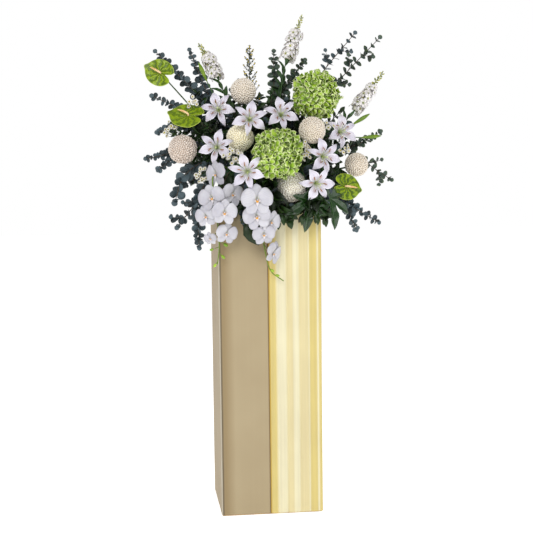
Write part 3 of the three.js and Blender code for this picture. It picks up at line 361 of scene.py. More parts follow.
def footOf(node, sides):  # where a node's stem stands in the foam, and where it has just left it
    corners = sorted({tuple(round(c, 6) for c in v.co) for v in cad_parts[node].data.vertices},
                     key=lambda c: (Vector(c) - rootPoint).length)
    foot = sum((Vector(c) for c in corners[:sides]), Vector()) / sides
    neck = sum((Vector(c) for c in corners[sides:2 * sides]), Vector()) / sides
    return foot, neck


def pathFrom(node, line, steps, sides=3):  # from the node's own hole in the foam, through the places in mm
    foot, neck = footOf(node, sides)
    return [foot] + smoothPath([neck] + inMetres(line), steps)


def bowFrom(foot, neck, end, outward, count):  # out of the foam and in one bow up to the end
    lead = (neck - foot).normalized()
    reach = (end - neck).length
    return [foot, neck] + interpolate_bezier(neck, neck + lead * reach * 0.35, end - outward * reach * 0.35,
                                             end, count)[1:]


# Materials

def putNode(tree, kind, inputs=None, **settings):
    node = tree.nodes.new("ShaderNode" + kind)
    for key, value in settings.items():
        setattr(node, key, value)
    for key, value in (inputs or {}).items():
        if isinstance(value, bpy.types.NodeSocket):
            tree.links.new(value, node.inputs[key])
        else:
            node.inputs[key].default_value = value
    return node


def maths(tree, operation, *values):
    return putNode(tree, "Math", dict(enumerate(values)), operation=operation).outputs[0]


def plus(tree, a, b):
    return maths(tree, "ADD", a, b)


def minus(tree, a, b):
    return maths(tree, "SUBTRACT", a, b)


def times(tree, a, b):
    return maths(tree, "MULTIPLY", a, b)


def mapShares(tree):  # how far across and along its own map
    return putNode(tree, "SeparateXYZ", {0: putNode(tree, "UVMap").outputs[0]}).outputs


def ownSpace(tree):
    return putNode(tree, "TexCoord").outputs["Object"]


def stretched(tree, where, scale):
    return putNode(tree, "Mapping", {"Vector": where, "Scale": scale}).outputs[0]


def noise(tree, scale, detail, where=None, **more):
    where = ownSpace(tree) if where is None else where
    return putNode(tree, "TexNoise", {"Vector": where, "Scale": scale, "Detail": detail, **more}).outputs[0]


def mixColours(tree, share, first, second):
    node = putNode(tree, "Mix", {0: share, 6: first, 7: second}, data_type="RGBA")
    return node.outputs[2]


def span(tree, value, low, high, toLow=0.0, toHigh=1.0):
    inputs = {"Value": value, "From Min": low, "From Max": high, "To Min": toLow, "To Max": toHigh}
    return putNode(tree, "MapRange", inputs, interpolation_type="SMOOTHSTEP").outputs[0]


def newFinish(name, **plain):
    finish = bpy.data.materials.new(name)
    finish.use_nodes = True
    shader = finish.node_tree.nodes["Principled BSDF"]
    for socket, value in plain.items():
        shader.inputs[socket.replace("_", " ")].default_value = value
    return finish, finish.node_tree, shader


def bumpTo(tree, shader, height, strength, distance):
    bump = putNode(tree, "Bump", {"Height": height, "Strength": strength, "Distance": distance})
    tree.links.new(bump.outputs[0], shader.inputs["Normal"])


def newGroup(name, inputs, outputs):
    tree = bpy.data.node_groups.new(name, "ShaderNodeTree")
    for label, value in inputs.items():
        tree.interface.new_socket(label, in_out="INPUT", socket_type="NodeSocketFloat").default_value = value
    for label in outputs:
        tree.interface.new_socket(label, in_out="OUTPUT", socket_type="NodeSocketFloat")
    return tree, tree.nodes.new("NodeGroupInput").outputs, tree.nodes.new("NodeGroupOutput").inputs


def useGroup(tree, group, **inputs):
    node = tree.nodes.new("ShaderNodeGroup")
    node.node_tree = group
    for key, value in inputs.items():
        node.inputs[key.replace("_", " ")].default_value = value
    return node.outputs


def makeToneGroup():  # light and dark from copy to copy, with soft patches over each
    tree, given, result = newGroup("copyTone", {"Patch Size": 60.0, "Patches": 0.3}, ["Tone"])
    own = putNode(tree, "Attribute", attribute_name="tone").outputs["Fac"]
    off = times(tree, minus(tree, noise(tree, given["Patch Size"], 3.0), 0.5), given["Patches"])
    tree.links.new(putNode(tree, "Clamp", {"Value": plus(tree, own, off)}).outputs[0], result["Tone"])
    return tree


def makeVeinGroup():  # a midrib and slanting side veins, from the blade's own map
    tree, given, result = newGroup(
        "bladeVeins", {"Side Veins": 9.0, "Slant": 5.0, "Midrib": 0.05}, ["Midrib", "Veins", "Height"])
    place = mapShares(tree)
    off = maths(tree, "ABSOLUTE", minus(tree, place[0], 0.5))
    midrib = minus(tree, 1.0, putNode(tree, "MapRange", {
        "Value": off, "From Max": given["Midrib"]}, interpolation_type="SMOOTHSTEP").outputs[0])
    run = minus(tree, times(tree, place[1], given["Side Veins"]), times(tree, off, given["Slant"]))
    saw = maths(tree, "ABSOLUTE", minus(tree, maths(tree, "FRACT", run), 0.5))
    veins = minus(tree, 1.0, span(tree, saw, 0.0, 0.12))
    ridge = maths(tree, "MAXIMUM", midrib, times(tree, veins, 0.5))
    tree.links.new(midrib, result["Midrib"])
    tree.links.new(veins, result["Veins"])
    tree.links.new(ridge, result["Height"])
    return tree


def makeLineGroup():  # fine lines that run the length of a petal
    tree, given, result = newGroup("petalLines", {"Lines": 12.0, "Stray": 0.06}, ["Lines"])
    place = mapShares(tree)
    stray = noise(tree, 4.0, 2.0, putNode(tree, "UVMap").outputs[0])
    across = plus(tree, place[0], times(tree, stray, given["Stray"]))
    wave = maths(tree, "SINE", times(tree, across, times(tree, given["Lines"], 6.283)))
    tree.links.new(span(tree, wave, -0.2, 1.0), result["Lines"])
    return tree


def makeWeaveGroup():  # over and under threads, from the cloth's own map
    tree, given, result = newGroup("weave", {"Warp": 500.0, "Weft": 900.0}, ["Height", "Slub"])
    uv = putNode(tree, "UVMap").outputs[0]
    place = putNode(tree, "SeparateXYZ", {0: uv}).outputs
    warp = maths(tree, "SINE", times(tree, place[0], given["Warp"]))
    weft = maths(tree, "SINE", times(tree, place[1], given["Weft"]))
    tree.links.new(times(tree, warp, weft), result["Height"])
    tree.links.new(noise(tree, 1.0, 4.0, stretched(tree, uv, (160.0, 3.0, 1.0))), result["Slub"])
    return tree


copyTone = makeToneGroup()
bladeVeins = makeVeinGroup()
petalLines = makeLineGroup()
weave = makeWeaveGroup()


def tint(red, green, blue, alpha=1):  # a colour as seen, 0 to 255
    return (*[((c / 255 + 0.055) / 1.055) ** 2.4 if c > 10 else c / 3294.6 for c in (red, green, blue)], alpha)


def makePetalFinish(name, pale, deep, foot, lines=12.0, footEnd=0.35, roughness=0.55, patch=0.3, glow=0.06):
    # Pale and deep petals, deeper at the foot, with fine lines along their length. On the mums the foot's
    # colour is painted shade in the creases between the petals
    finish, tree, shader = newFinish(name, Roughness=roughness, Specular_IOR_Level=0.35,
                                     Subsurface_Weight=glow, Subsurface_Radius=(0.004, 0.003, 0.002))
    tone = useGroup(tree, copyTone, Patch_Size=45.0, Patches=patch)["Tone"]
    streaks = useGroup(tree, petalLines, Lines=lines)["Lines"]
    along = mapShares(tree)[1]
    body = mixColours(tree, tone, tint(*deep), tint(*pale))
    # the foot's colour: the petals' own base colour, and on the mums painted shade in the creases
    body = mixColours(tree, span(tree, along, footEnd, 0.0, 0.0, 0.9), body, tint(*foot))
    tree.links.new(mixColours(tree, times(tree, streaks, 0.22), body, tint(*deep)),
                   shader.inputs["Base Color"])
    bumpTo(tree, shader, streaks, 0.35, 0.0006)
    return finish


def makeLeafFinish(name, pale, deep, rib, roughness=0.4, sideVeins=9.0, slant=5.0, ribShare=0.7, coat=0.0,
                   bumps=0.0006, tip=None):
    finish, tree, shader = newFinish(name, Coat_Weight=coat, Coat_Roughness=0.2, Specular_IOR_Level=0.36)
    tone = useGroup(tree, copyTone, Patch_Size=70.0, Patches=0.6)["Tone"]
    veins = useGroup(tree, bladeVeins, Side_Veins=sideVeins, Slant=slant, Midrib=0.06)
    body = mixColours(tree, tone, tint(*deep), tint(*pale))
    if tip:
        along = mapShares(tree)[1]
        body = mixColours(tree, span(tree, along, 0.55, 1.0, 0.0, 0.8), body, tint(*tip))
    ridge = times(tree, veins["Height"], ribShare)
    tree.links.new(mixColours(tree, ridge, body, tint(*rib)), shader.inputs["Base Color"])
    tree.links.new(span(tree, tone, 0.0, 1.0, roughness + 0.08, roughness - 0.08), shader.inputs["Roughness"])
    bumpTo(tree, shader, veins["Height"], 0.5, bumps)
    return finish


def makeSkinFinish(name, pale, deep, patchSize=60.0, patches=0.8, grain=900.0, roughness=0.5, depth=0.0004,
                   coat=0.0):
    # Stems, buds, pollen and other small parts: patches of two colours with a fine grain
    finish, tree, shader = newFinish(name, Roughness=roughness, Coat_Weight=coat, Coat_Roughness=0.25)
    tone = useGroup(tree, copyTone, Patch_Size=patchSize, Patches=patches)["Tone"]
    tree.links.new(mixColours(tree, tone, tint(*deep), tint(*pale)), shader.inputs["Base Color"])
    bumpTo(tree, shader, noise(tree, grain, 2.0), 0.4, depth)
    return finish


# The plinth: its boards, walls and the two cloths

boards = {"pale": (203, 172, 122), "deep": (168, 132, 84)}


def makeWoodFinish():
    finish, tree, shader = newFinish("birchPly", Roughness=0.62)
    grain = noise(tree, 3.0, 6.0, stretched(tree, ownSpace(tree), (6.0, 60.0, 2.2)), Distortion=0.6)
    tree.links.new(mixColours(tree, span(tree, grain, 0.3, 0.7), tint(*boards["deep"]),
                              tint(*boards["pale"])), shader.inputs["Base Color"])
    bumpTo(tree, shader, grain, 0.3, 0.0004)
    return finish


cloths = {
    "thickness": 1.6, "hemHeight": 24, "low": 3, "high": 981.6, "corner": 5, "turnover": 25,
    "halfX": 162.4, "halfY": 152.4, "seamX": -5.0,  # the middle of the cloth's thickness
    "frontPleats": (4, 23, 57, 97, 128, 156), "pleat": 2.6, "sidePitch": 25.5, "backPitch": 52.0, "tanSag": 0.9,
    "columns": {-1: 5.0, 1: 2.6}, "rows": 34, "rim": 982,  # columns by side, in mm from one to the next
    "pinches": ((88, 0.12, 120), (104, -0.05, 75), (52, 0.1, 60)),  # under the rim: place, lean and reach
    "evenFrom": (167, 171),  # past here the gold folds come evenly
    "shades": {
        "line": (186, 150, 56), "strip": (212, 194, 124), "beige": (220, 207, 160), "cream": (227, 220, 186),
        "tanEdge": (146, 128, 98), "tan": (172, 156, 125), "tanBrown": (150, 131, 98), "tanDark": (96, 86, 70),
        "tanLight": (206, 197, 178), "tanSide": (174, 157, 128),
    },
    "goldPleatShadeBands": (  # where each shade stands, in mm from the seam in front: painted light and shade of the gold pleats
        (0, "line"), (2, "line"), (4, "strip"), (21, "strip"), (23, "beige"), (25, "beige"), (28, "cream"),
        (53, "cream"), (58, "beige"), (75, "beige"), (79, "cream"), (94, "cream"), (99, "beige"),
        (125, "beige"), (128, "cream"), (130, "cream"), (132, "strip"), (153, "strip"), (155, "cream"),
        (159, "cream"), (162, "strip"), (167, "strip")),
    # the tan's own colour, with painted shade, a painted shadow line and a painted highlight line at the
    # front-left corner
    "tanBands": (
        (0, "tanEdge"), (2.5, "tanEdge"), (5, "tan"), (112, "tan"), (142, "tanBrown"), (150, "tanBrown"),
        (152, "tanDark"), (155, "tanDark"), (156.5, "tanLight"), (159, "tanLight"), (162, "tanSide")),
    "tanFlat": (0.66, 1.03), "goldFlat": (0.80, 1.03),
}


def clothPlan(side):
    # Places round one half of the plinth, each with its way out and its distance from the front seam
    halfX, halfY, corner = cloths["halfX"], cloths["halfY"], cloths["corner"]
    seam, edge = cloths["seamX"], side * halfX
    runs = [((seam, -halfY), (edge, -halfY)), ((edge, -halfY), (edge, halfY)), ((edge, halfY), (seam, halfY))]
    places, far = [], 0.0
    for number, (start, end) in enumerate(runs):
        start, end = Vector(start), Vector(end)
        way = (end - start).normalized()
        out = Vector((way.y, -way.x)) * side
        begin = start + way * (corner if number else 0)
        finish = end - way * (corner if number < 2 else 0)
        length = (finish - begin).length
        count = round(length / cloths["columns"][side])
        for i in range(count + 1):
            places.append((begin + way * length * i / count, out.copy(), far + length * i / count, number))
        far += length
        if number < 2:
            nextWay = (Vector(runs[number + 1][1]) - end).normalized()
            centre = end - way * corner + nextWay * corner
            for i in range(1, 5):
                turn = math.radians(18 * i)
                swing = (out * math.cos(turn) + way * math.sin(turn)).normalized()
                places.append((centre + swing * corner, swing, far + corner * turn, number))
            far += corner * math.pi / 2
    return places, far


def clothProfile():
    # Stops up the wall, over the rim and in over the top, each with its inset and height
    low, high, corner, hem = (cloths[k] for k in ("low", "high", "corner", "hemHeight"))
    stops = [(0, low), (0, low + 2), (0, hem - 3), (0, hem - 1), (0, hem + 1)]
    rows = cloths["rows"]
    stops += [(0, hem + (high - corner - hem) * i / rows) for i in range(1, rows + 1)]
    for i in range(1, 5):
        turn = math.radians(22.5 * i)
        stops.append((corner * (1 - math.cos(turn)), high - corner * (1 - math.sin(turn))))
    stops += [(corner + (cloths["turnover"] - corner) * i / 3, high) for i in range(1, 4)]
    return stops


def makeCloth(name, side, relief):
    places, around = clothPlan(side)
    stops = clothProfile()
    lengths = [0.0]
    for (inA, upA), (inB, upB) in zip(stops, stops[1:]):
        lengths.append(lengths[-1] + math.hypot(inB - inA, upB - upA))

    def pick(u, v):
        return round((u + 1) / 2 * (len(places) - 1)), round(v * (len(stops) - 1))

    def form(u, v):
        column, row = pick(u, v)
        place, out, far, run = places[column]
        inset, height = stops[row]
        swell = relief(far, height, run) * (1 if inset == 0 else max(0.0, 1 - inset / cloths["corner"]))
        inward = Vector((place.x * inset / cloths["halfX"], place.y * inset / cloths["halfY"]))
        spot = place + out * swell - inward
        return Vector((spot.x, spot.y, height)) * mm

    def chart(u, v):
        column, row = pick(u, v)
        return places[column][2] / around, lengths[row] / lengths[-1]

    cloth = sheetFromForm(name, len(places) - 1, len(stops) - 1, form, cloths["thickness"] * mm, chart=chart)
    print(name, "runs", round(around), "mm round and", round(lengths[-1]), "mm up")
    return cloth


def tanRelief(far, height, run):  # nearly flat, with slack above the hem and pinches under the rim
    slack = math.sin(far / 61 + 0.7) * math.sin(height / 217) + 0.5 * math.sin(far / 23 + height / 160)
    rim = cloths["rim"]
    pinch = sum(2.6 * math.exp(-((far - at - (rim - height) * lean) / 5) ** 2)
                * max(0.0, (height - rim + reach) / reach) for at, lean, reach in cloths["pinches"])
    hem = 0.15 if height < cloths["hemHeight"] else 0.0
    return cloths["tanSag"] * slack * 0.5 + pinch + hem


def pleatAt(offset):  # a soft lap: steep on one side, easy on the other
    return math.exp(-(offset / (2.0 if offset < 0 else 6.5)) ** 2)


def goldRelief(far, height, run):
    wander = 1.4 * math.sin(height / 190 + far)
    corner = cloths["halfX"] - cloths["seamX"]
    if run == 0:
        grooves = cloths["frontPleats"]
    else:
        pitch = cloths["sidePitch"] if run == 1 else cloths["backPitch"]
        start = corner if run == 1 else corner + 2 * cloths["halfY"]
        grooves = [start + pitch * (round((far - start) / pitch - 0.5) + k) for k in (0, 0.999)]
    dip = max([pleatAt(far - groove - wander * 0.3) for groove in grooves if abs(far - groove) < 30] or [0])
    hem = 0.15 if height < cloths["hemHeight"] else 0.0
    return cloths["pleat"] * (1 - dip) + 0.4 * math.sin(far / 17 + height / 230) + hem


def bandColour(tree, along, bands, around):  # the shades across a cloth, from its front seam: its own colour and the painted light and shade of its folds
    ramp = putNode(tree, "ValToRGB", {"Fac": along})
    stops = ramp.color_ramp.elements
    for far, shade in bands[1:-1]:
        stops.new(far / around).color = tint(*cloths["shades"][shade])
    for stop, (far, shade) in ((stops[0], bands[0]), (stops[len(stops) - 1], bands[-1])):
        stop.position = far / around
        stop.color = tint(*cloths["shades"][shade])
    return ramp.outputs[0]


def makeClothFinish(name, sheen, warp, weft, bands, around, streaky, pitch=0.0):
    finish, tree, shader = newFinish(name, Roughness=0.82, Specular_IOR_Level=0.2, Sheen_Weight=sheen,
                                     Sheen_Roughness=0.5)
    threads = useGroup(tree, weave, Warp=warp, Weft=weft)
    along = mapShares(tree)[0]
    body = bandColour(tree, along, bands, around)
    if pitch:  # round the side and back the same folds come evenly, with their light and shade painted from strip to cream
        wave = maths(tree, "SINE", times(tree, along, 2 * math.pi * around / pitch))
        folds = mixColours(tree, span(tree, wave, -0.5, 0.5), tint(*cloths["shades"]["strip"]),
                           tint(*cloths["shades"]["cream"]))
        body = mixColours(tree, span(tree, along, *[far / around for far in cloths["evenFrom"]]), body, folds)
    streak = noise(tree, 1.0, 2.0, stretched(tree, ownSpace(tree), (90.0, 90.0, 1.6)))
    shade = plus(tree, times(tree, streak, streaky), times(tree, noise(tree, 6.0, 2.0), 1 - streaky))
    tree.links.new(mixColours(tree, span(tree, shade, 0.3, 0.7, 0.22, 0.0), body,
                              tint(*cloths["shades"]["tanEdge"])), shader.inputs["Base Color"])
    height = plus(tree, threads["Height"], times(tree, threads["Slub"], 0.6))
    bumpTo(tree, shader, height, 0.2, 0.0002)
    return finish


def dressPlinth():
    wood = makeWoodFinish()
    for node in ("base_board", "top_board", "plinth_walls"):
        paint(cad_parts[node], wood)
    tanFinish = makeClothFinish("tanCloth", 0.1, 3300.0, 5200.0, cloths["tanBands"], clothPlan(-1)[1], 0.15)
    goldFinish = makeClothFinish("goldCloth", 0.15, 5200.0, 8000.0, cloths["goldPleatShadeBands"], clothPlan(1)[1], 0.6,
                                 cloths["sidePitch"])
    tanSkin = paint(makeCloth("tanClothSkin", -1, tanRelief), tanFinish)
    settle(tanSkin, "tan_cloth", "tan_cloth")
    goldSkin = paint(makeCloth("goldClothSkin", 1, goldRelief), goldFinish)
    settle(goldSkin, "gold_cloth", "gold_cloth")


placeCamera()
placeStudio()
dressPlinth()
print("plinth and cloths done")


# The tray and its block of foam

def dressTray():
    plastic, tree, shader = newFinish("trayPlastic", Coat_Weight=0.2, Coat_Roughness=0.3)
    tone = useGroup(tree, copyTone, Patch_Size=30.0, Patches=0.7)["Tone"]
    tree.links.new(mixColours(tree, tone, tint(18, 24, 20), tint(38, 46, 40)), shader.inputs["Base Color"])
    tree.links.new(span(tree, tone, 0.0, 1.0, 0.35, 0.5), shader.inputs["Roughness"])
    bumpTo(tree, shader, noise(tree, 700.0, 2.0), 0.2, 0.0003)
    paint(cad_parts["flower_tray"], plastic)

    foam, tree, shader = newFinish("wetFoam", Roughness=0.95)
    pores = putNode(tree, "TexVoronoi", {"Vector": ownSpace(tree), "Scale": 420.0})
    body = mixColours(tree, noise(tree, 14.0, 3.0), tint(22, 62, 34), tint(48, 104, 58))
    tree.links.new(mixColours(tree, span(tree, pores.outputs[0], 0.35, 0.05, 0.0, 0.6), body, tint(14, 40, 22)),
                   shader.inputs["Base Color"])
    bumpTo(tree, shader, pores.outputs[0], 0.6, 0.0008)
    paint(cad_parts["floral_foam"], foam)


# Stems, shared by all that grows out of the foam

stems = {"roundness": 2, "stops": 8, "mum": (3.2, 2.8), "hydrangea": (4.6, 4.0), "anthurium": (2.6, 2.1)}


def stemTo(name, node, end, outward, radii):  # from the node's own hole in the foam into the back of its head
    return stalk(name, bowFrom(*footOf(node, 3), end, outward, stems["stops"]), radii, stems["roundness"])


# Ball chrysanthemums

mums = {
    "petals": 440, "core": 0.885, "foot": 0.77, "lean": 0.15, "light": 0.4,
    "petal": ((0.06, -0.005, 0.05, 0.015), (0.15, -0.008, 0.078, 0.02), (0.2, 0.02, 0.07, 0.01)),
    "knuckle": ((0.084, 0.062, 0.074), (0.0, 0.172, 0.035)),  # each petal's curled tip: size and place
    "lifts": {"mum_1": 0.4, "mum_4": 0.5, "mum_5": 0.6},  # lighter where the neighbours shade them
    "shag": 0.07, "shaggy": {"mum_3": 0.13},  # how far the petals' lengths differ
    "finishes": {  # pale, deep, foot, and how far up the foot's colour reaches; the foot's colour is painted shade in the creases between the petals
        "creamPetal": ((236, 228, 216), (229, 216, 198), (210, 188, 150), 0.56),
        "roseCreamPetal": ((230, 220, 210), (214, 198, 184), (178, 148, 116), 0.7),
        # two lighter finishes, painted light for mum_5 and mum_4 in their neighbours' shade; mum_4 is also
        # yellower
        "paintedLightCreamPetal": ((255, 251, 240), (252, 243, 226), (240, 222, 188), 0.56),
        "paintedLightYellowPetal": ((255, 250, 228), (255, 243, 206), (250, 226, 166), 0.62),
    },
    "heads": {
        "mum_1": ((-65, -40, 1360), (-0.1, -0.8, 0.6), 42, "creamPetal"),
        "mum_2": ((140, -150, 1230), (0.2, -1, 0.2), 43, "creamPetal"),
        "mum_3": ((-265, -85, 1175), (-0.5, -1, 0.3), 46, "roseCreamPetal"),
        "mum_4": ((-85, -115, 1208), (-0.1, -1, 0.4), 44, "paintedLightYellowPetal"),
        "mum_5": ((74, -146, 1054), (0.1, -1, 0), 50, "paintedLightCreamPetal"),
        "mum_6": ((300, -60, 1120), (0.6, -0.8, 0.2), 39, "creamPetal"),
    },
}


def makeMums(greenStem):
    draw = random.Random(11)
    finishes = {name: makePetalFinish(name, pale, deep, foot, 3.0, footEnd, glow=0.0)
                for name, (pale, deep, foot, footEnd) in mums["finishes"].items()}
    petal = joinPieces("mumPetal", [sheetFromRows("mumBlade", mums["petal"], (1, 0, 1), 0.03),
                                    bead("mumKnuckle", *mums["knuckle"], 7, 5)])
    core = bead("mumCore", (mums["core"],) * 3, segments=16, rings=12)
    for node, (place, face, radius, finish) in mums["heads"].items():
        middle, size = Vector(place) * mm, radius * mm
        turn = facing(middle, face, 0, size)
        parts = [copyTo(core, turn, 0.6)]
        shag = mums["shaggy"].get(node, mums["shag"])
        light = mums["light"] + mums["lifts"].get(node, 0.0)
        for out in ballPoints(mums["petals"]):
            out = (out + jitter(draw, 0.03)).normalized()
            inward = upward - out * out.z  # the petals close over the crown, as scales do
            grow = out + inward * mums["lean"] + jitter(draw, 0.12)
            scale = (1.0 - 0.1 * max(0.0, out.z) ** 3) * (1 + draw.uniform(-shag, shag))
            # the tone falls towards the ball's lower side: painted shade
            parts.append(copyTo(petal, turn @ growing(out * mums["foot"], grow, upward - out * 0.3, scale),
                                light + 0.6 * draw.random() + 0.4 * min(0.0, out.y + 0.2)))
        dress(node + "_petals", parts, finishes[finish], "cream_petal", node)
        outward = Vector(face).normalized()
        stem = stemTo(node + "_stem", node, middle - outward * size * 0.6, outward, stems["mum"])
        settle(paint(stem, greenStem), "cream_petal")
    discard(petal, core)


# Hydrangeas

hydrangeas = {
    "florets": 140, "floret": 21.0, "sink": 12.0, "bare": 0.86, "tilt": 0.9, "ruffle": 0.14,
    "petal": ((0.06, 0.0, 0.1, 0.0), (0.42, 0.08, 0.34, 0.14), (0.8, 0.2, 0.46, 0.02), (1.06, 0.12, 0.3, -0.1)),
    "heads": {
        "hydrangea_1": ((165, -60, 1345), (0.2, -1, 0.5), 77),
        "hydrangea_2": ((20, -212, 1158), (0, -1, 0.1), 75),
    },
}


def makeHydrangeaFinish():
    finish, tree, shader = newFinish("limePetal", Roughness=0.5, Subsurface_Weight=0.05,
                                     Subsurface_Radius=(0.003, 0.004, 0.001))
    tone = useGroup(tree, copyTone, Patch_Size=30.0, Patches=0.5)["Tone"]
    place = mapShares(tree)
    side = maths(tree, "ABSOLUTE", minus(tree, place[0], 0.5))
    rim = maths(tree, "MAXIMUM", span(tree, side, 0.3, 0.5), span(tree, place[1], 0.66, 1.0))
    body = mixColours(tree, tone, tint(104, 150, 6), tint(172, 204, 54))
    # dark green towards each petal's foot: painted shade between the florets
    body = mixColours(tree, span(tree, place[1], 0.55, 0.0, 0.0, 0.95), body, tint(44, 78, 2))
    rim = times(tree, rim, span(tree, noise(tree, 110.0, 2.0), 0.3, 0.56, 0.25, 0.95))
    tree.links.new(mixColours(tree, rim, body, tint(232, 240, 180)), shader.inputs["Base Color"])
    lines = useGroup(tree, petalLines, Lines=6.0)["Lines"]
    bumpTo(tree, shader, lines, 0.4, 0.0008)
    return finish


def makeHydrangeas(greenStem):
    draw = random.Random(7)
    finish = makeHydrangeaFinish()
    petal = sheetFromRows("hydrangeaPetal", hydrangeas["petal"], (1, 0, 1), 0.045, 0, hydrangeas["ruffle"])
    petals = [copyTo(petal, turned(angle) @ Matrix.Translation((0, 0, 0.04 * (angle % 180) / 90)))
              for angle in (0, 90, 180, 270)]
    floret = joinPieces("floret", petals + [bead("floretEye", (0.1, 0.1, 0.09), (0, 0, 0.06), 6, 4)])
    core = bead("hydrangeaCore", (0.72, 0.72, 0.72), segments=24, rings=16)
    for node, (place, face, radius) in hydrangeas["heads"].items():
        middle = Vector(place) * mm
        turn = facing(middle, face)
        parts = [copyTo(core, turn @ Matrix.Scale(radius * mm, 4), 0.0)]
        for out in ballPoints(hydrangeas["florets"]):
            if out.z < -hydrangeas["bare"]:
                continue
            lump = 1 + 0.09 * math.sin(5 * out.x + 2) * math.sin(4 * out.y + 1)
            start = out * (radius * lump - hydrangeas["sink"] + draw.uniform(-8, 5)) * mm
            tilt = out + jitter(draw, 1) * hydrangeas["tilt"]
            size = hydrangeas["floret"] * draw.uniform(0.85, 1.12) * mm
            parts.append(copyTo(floret, turn @ facing(start, tilt, draw.uniform(0, 90), size),
                                draw.uniform(0.2, 0.9)))
        dress(node + "_florets", parts, finish, "hydrangea_petal", node)
        outward = Vector(face).normalized()
        stem = stemTo(node + "_stem", node, middle - outward * (radius - 16) * mm, outward, stems["hydrangea"])
        settle(paint(stem, greenStem), "hydrangea_petal")
    discard(petal, floret, core)


# Anthuriums

anthuriums = {
    "thickness": 1.3, "lobes": 7, "pucker": 1.3, "around": 108, "out": 20, "size": 47,  # mm that 1 stands for
    "tones": {"anthurium_1": 0.55, "anthurium_2": 0.85, "anthurium_3": 0.3},
    "spadix": ((0, 4, 2.0), (0, 4, 10), (0, -8, 19), (0, -28, 25)),
    "heads": {
        "anthurium_1": ((-330, -20, 1420), (-0.35, -1, 0.25), 115, 47),
        "anthurium_2": ((-248, -75, 1280), (-0.2, -0.8, 0.75), 100, 54),
        "anthurium_3": ((252, -125, 1050), (0.35, -1, 0.15), -75, 46),
    },
}


def heartReach(angle):  # 0 at the tip, half a turn at the notch
    a = abs(angle)
    reach = 0.82 + 0.24 * math.cos(a) ** 2 + 0.1 * math.sin(a) ** 2
    point = 0.16 * math.exp(-(a / 0.16) ** 2)
    notch = 0.62 * math.exp(-((math.pi - a) / 0.2) ** 2)
    return reach + point - notch


def heartForm(u, v):
    angle = u * math.pi
    reach = heartReach(angle)
    share = max(v, 0.0)
    r = share * reach
    vein = abs(math.cos(angle * anthuriums["lobes"] / 2 + 0.9 * share ** 2 * math.sin(angle)))
    ribs = math.exp(-((1 - vein) / 0.5) ** 2)  # broad swells between sunken veins
    cross = 0.5 + 0.5 * math.cos(share * 21 + 2.5 * vein)
    pucker = anthuriums["pucker"] / anthuriums["size"] * math.sin(math.pi * min(1, share * 1.05)) ** 0.6
    rise = 5 / anthuriums["size"] * share ** 2 - 0.12 * r * abs(math.sin(angle)) * share + 0.02
    rise += pucker * ((1 - ribs) * -0.9 + 0.4 * cross * vein) + 0.03 * math.sin(angle * 5 + 1) * share ** 3
    return Vector((math.sin(angle) * r, -math.cos(angle) * r, rise))


def heartChart(u, v):
    angle = u * math.pi
    return 0.5 + 0.45 * v * math.sin(angle), 0.5 - 0.45 * v * math.cos(angle)


def makeSpatheFinish():
    finish, tree, shader = newFinish("spatheWax", Roughness=0.42, Coat_Weight=0.12, Coat_Roughness=0.2,
                                     Specular_IOR_Level=0.3)
    tone = useGroup(tree, copyTone, Patch_Size=50.0, Patches=0.5)["Tone"]
    uv = putNode(tree, "UVMap").outputs[0]
    place = putNode(tree, "SeparateXYZ", {0: uv}).outputs
    x, y = minus(tree, place[0], 0.5), minus(tree, place[1], 0.5)
    far = maths(tree, "SQRT", plus(tree, times(tree, x, x), times(tree, y, y)))
    angle = maths(tree, "ARCTAN2", x, times(tree, y, -1.0))
    stray = times(tree, minus(tree, noise(tree, 7.0, 2.0, uv), 0.5), 9.0)
    swept = plus(tree, times(tree, angle, 10.0), times(tree, far, 9.0))
    fan = maths(tree, "COSINE", plus(tree, swept, stray))
    rings = maths(tree, "COSINE", plus(tree, times(tree, far, 50.0), times(tree, stray, 2.2)))
    ribs = span(tree, plus(tree, fan, times(tree, rings, 0.45)), -1.0, 1.1)
    # pale along the vein pattern, the veins' own colour, and dark between, painted shade of the furrows
    body = mixColours(tree, ribs, tint(46, 76, 0), tint(132, 157, 4))
    body = mixColours(tree, times(tree, tone, 0.4), body, tint(137, 162, 6))
    body = mixColours(tree, span(tree, far, 0.42, 0.455, 0.0, 0.8), body, tint(188, 204, 84))
    tree.links.new(mixColours(tree, span(tree, far, 0.1, 0.0, 0.0, 0.5), body, tint(166, 180, 60)),
                   shader.inputs["Base Color"])
    bumpTo(tree, shader, ribs, 0.8, 0.002)
    return finish


def makeSpadixFinish():
    finish, tree, shader = newFinish("spadixSkin", Roughness=0.5)
    place = mapShares(tree)
    own = putNode(tree, "Attribute", attribute_name="tone").outputs["Fac"]
    body = mixColours(tree, span(tree, own, 0.35, 0.6), tint(244, 220, 184), tint(232, 184, 112))
    body = mixColours(tree, span(tree, own, 0.65, 0.95), body, tint(186, 160, 44))
    tree.links.new(mixColours(tree, times(tree, place[1], 0.2), body, tint(250, 226, 190)),
                   shader.inputs["Base Color"])
    return finish


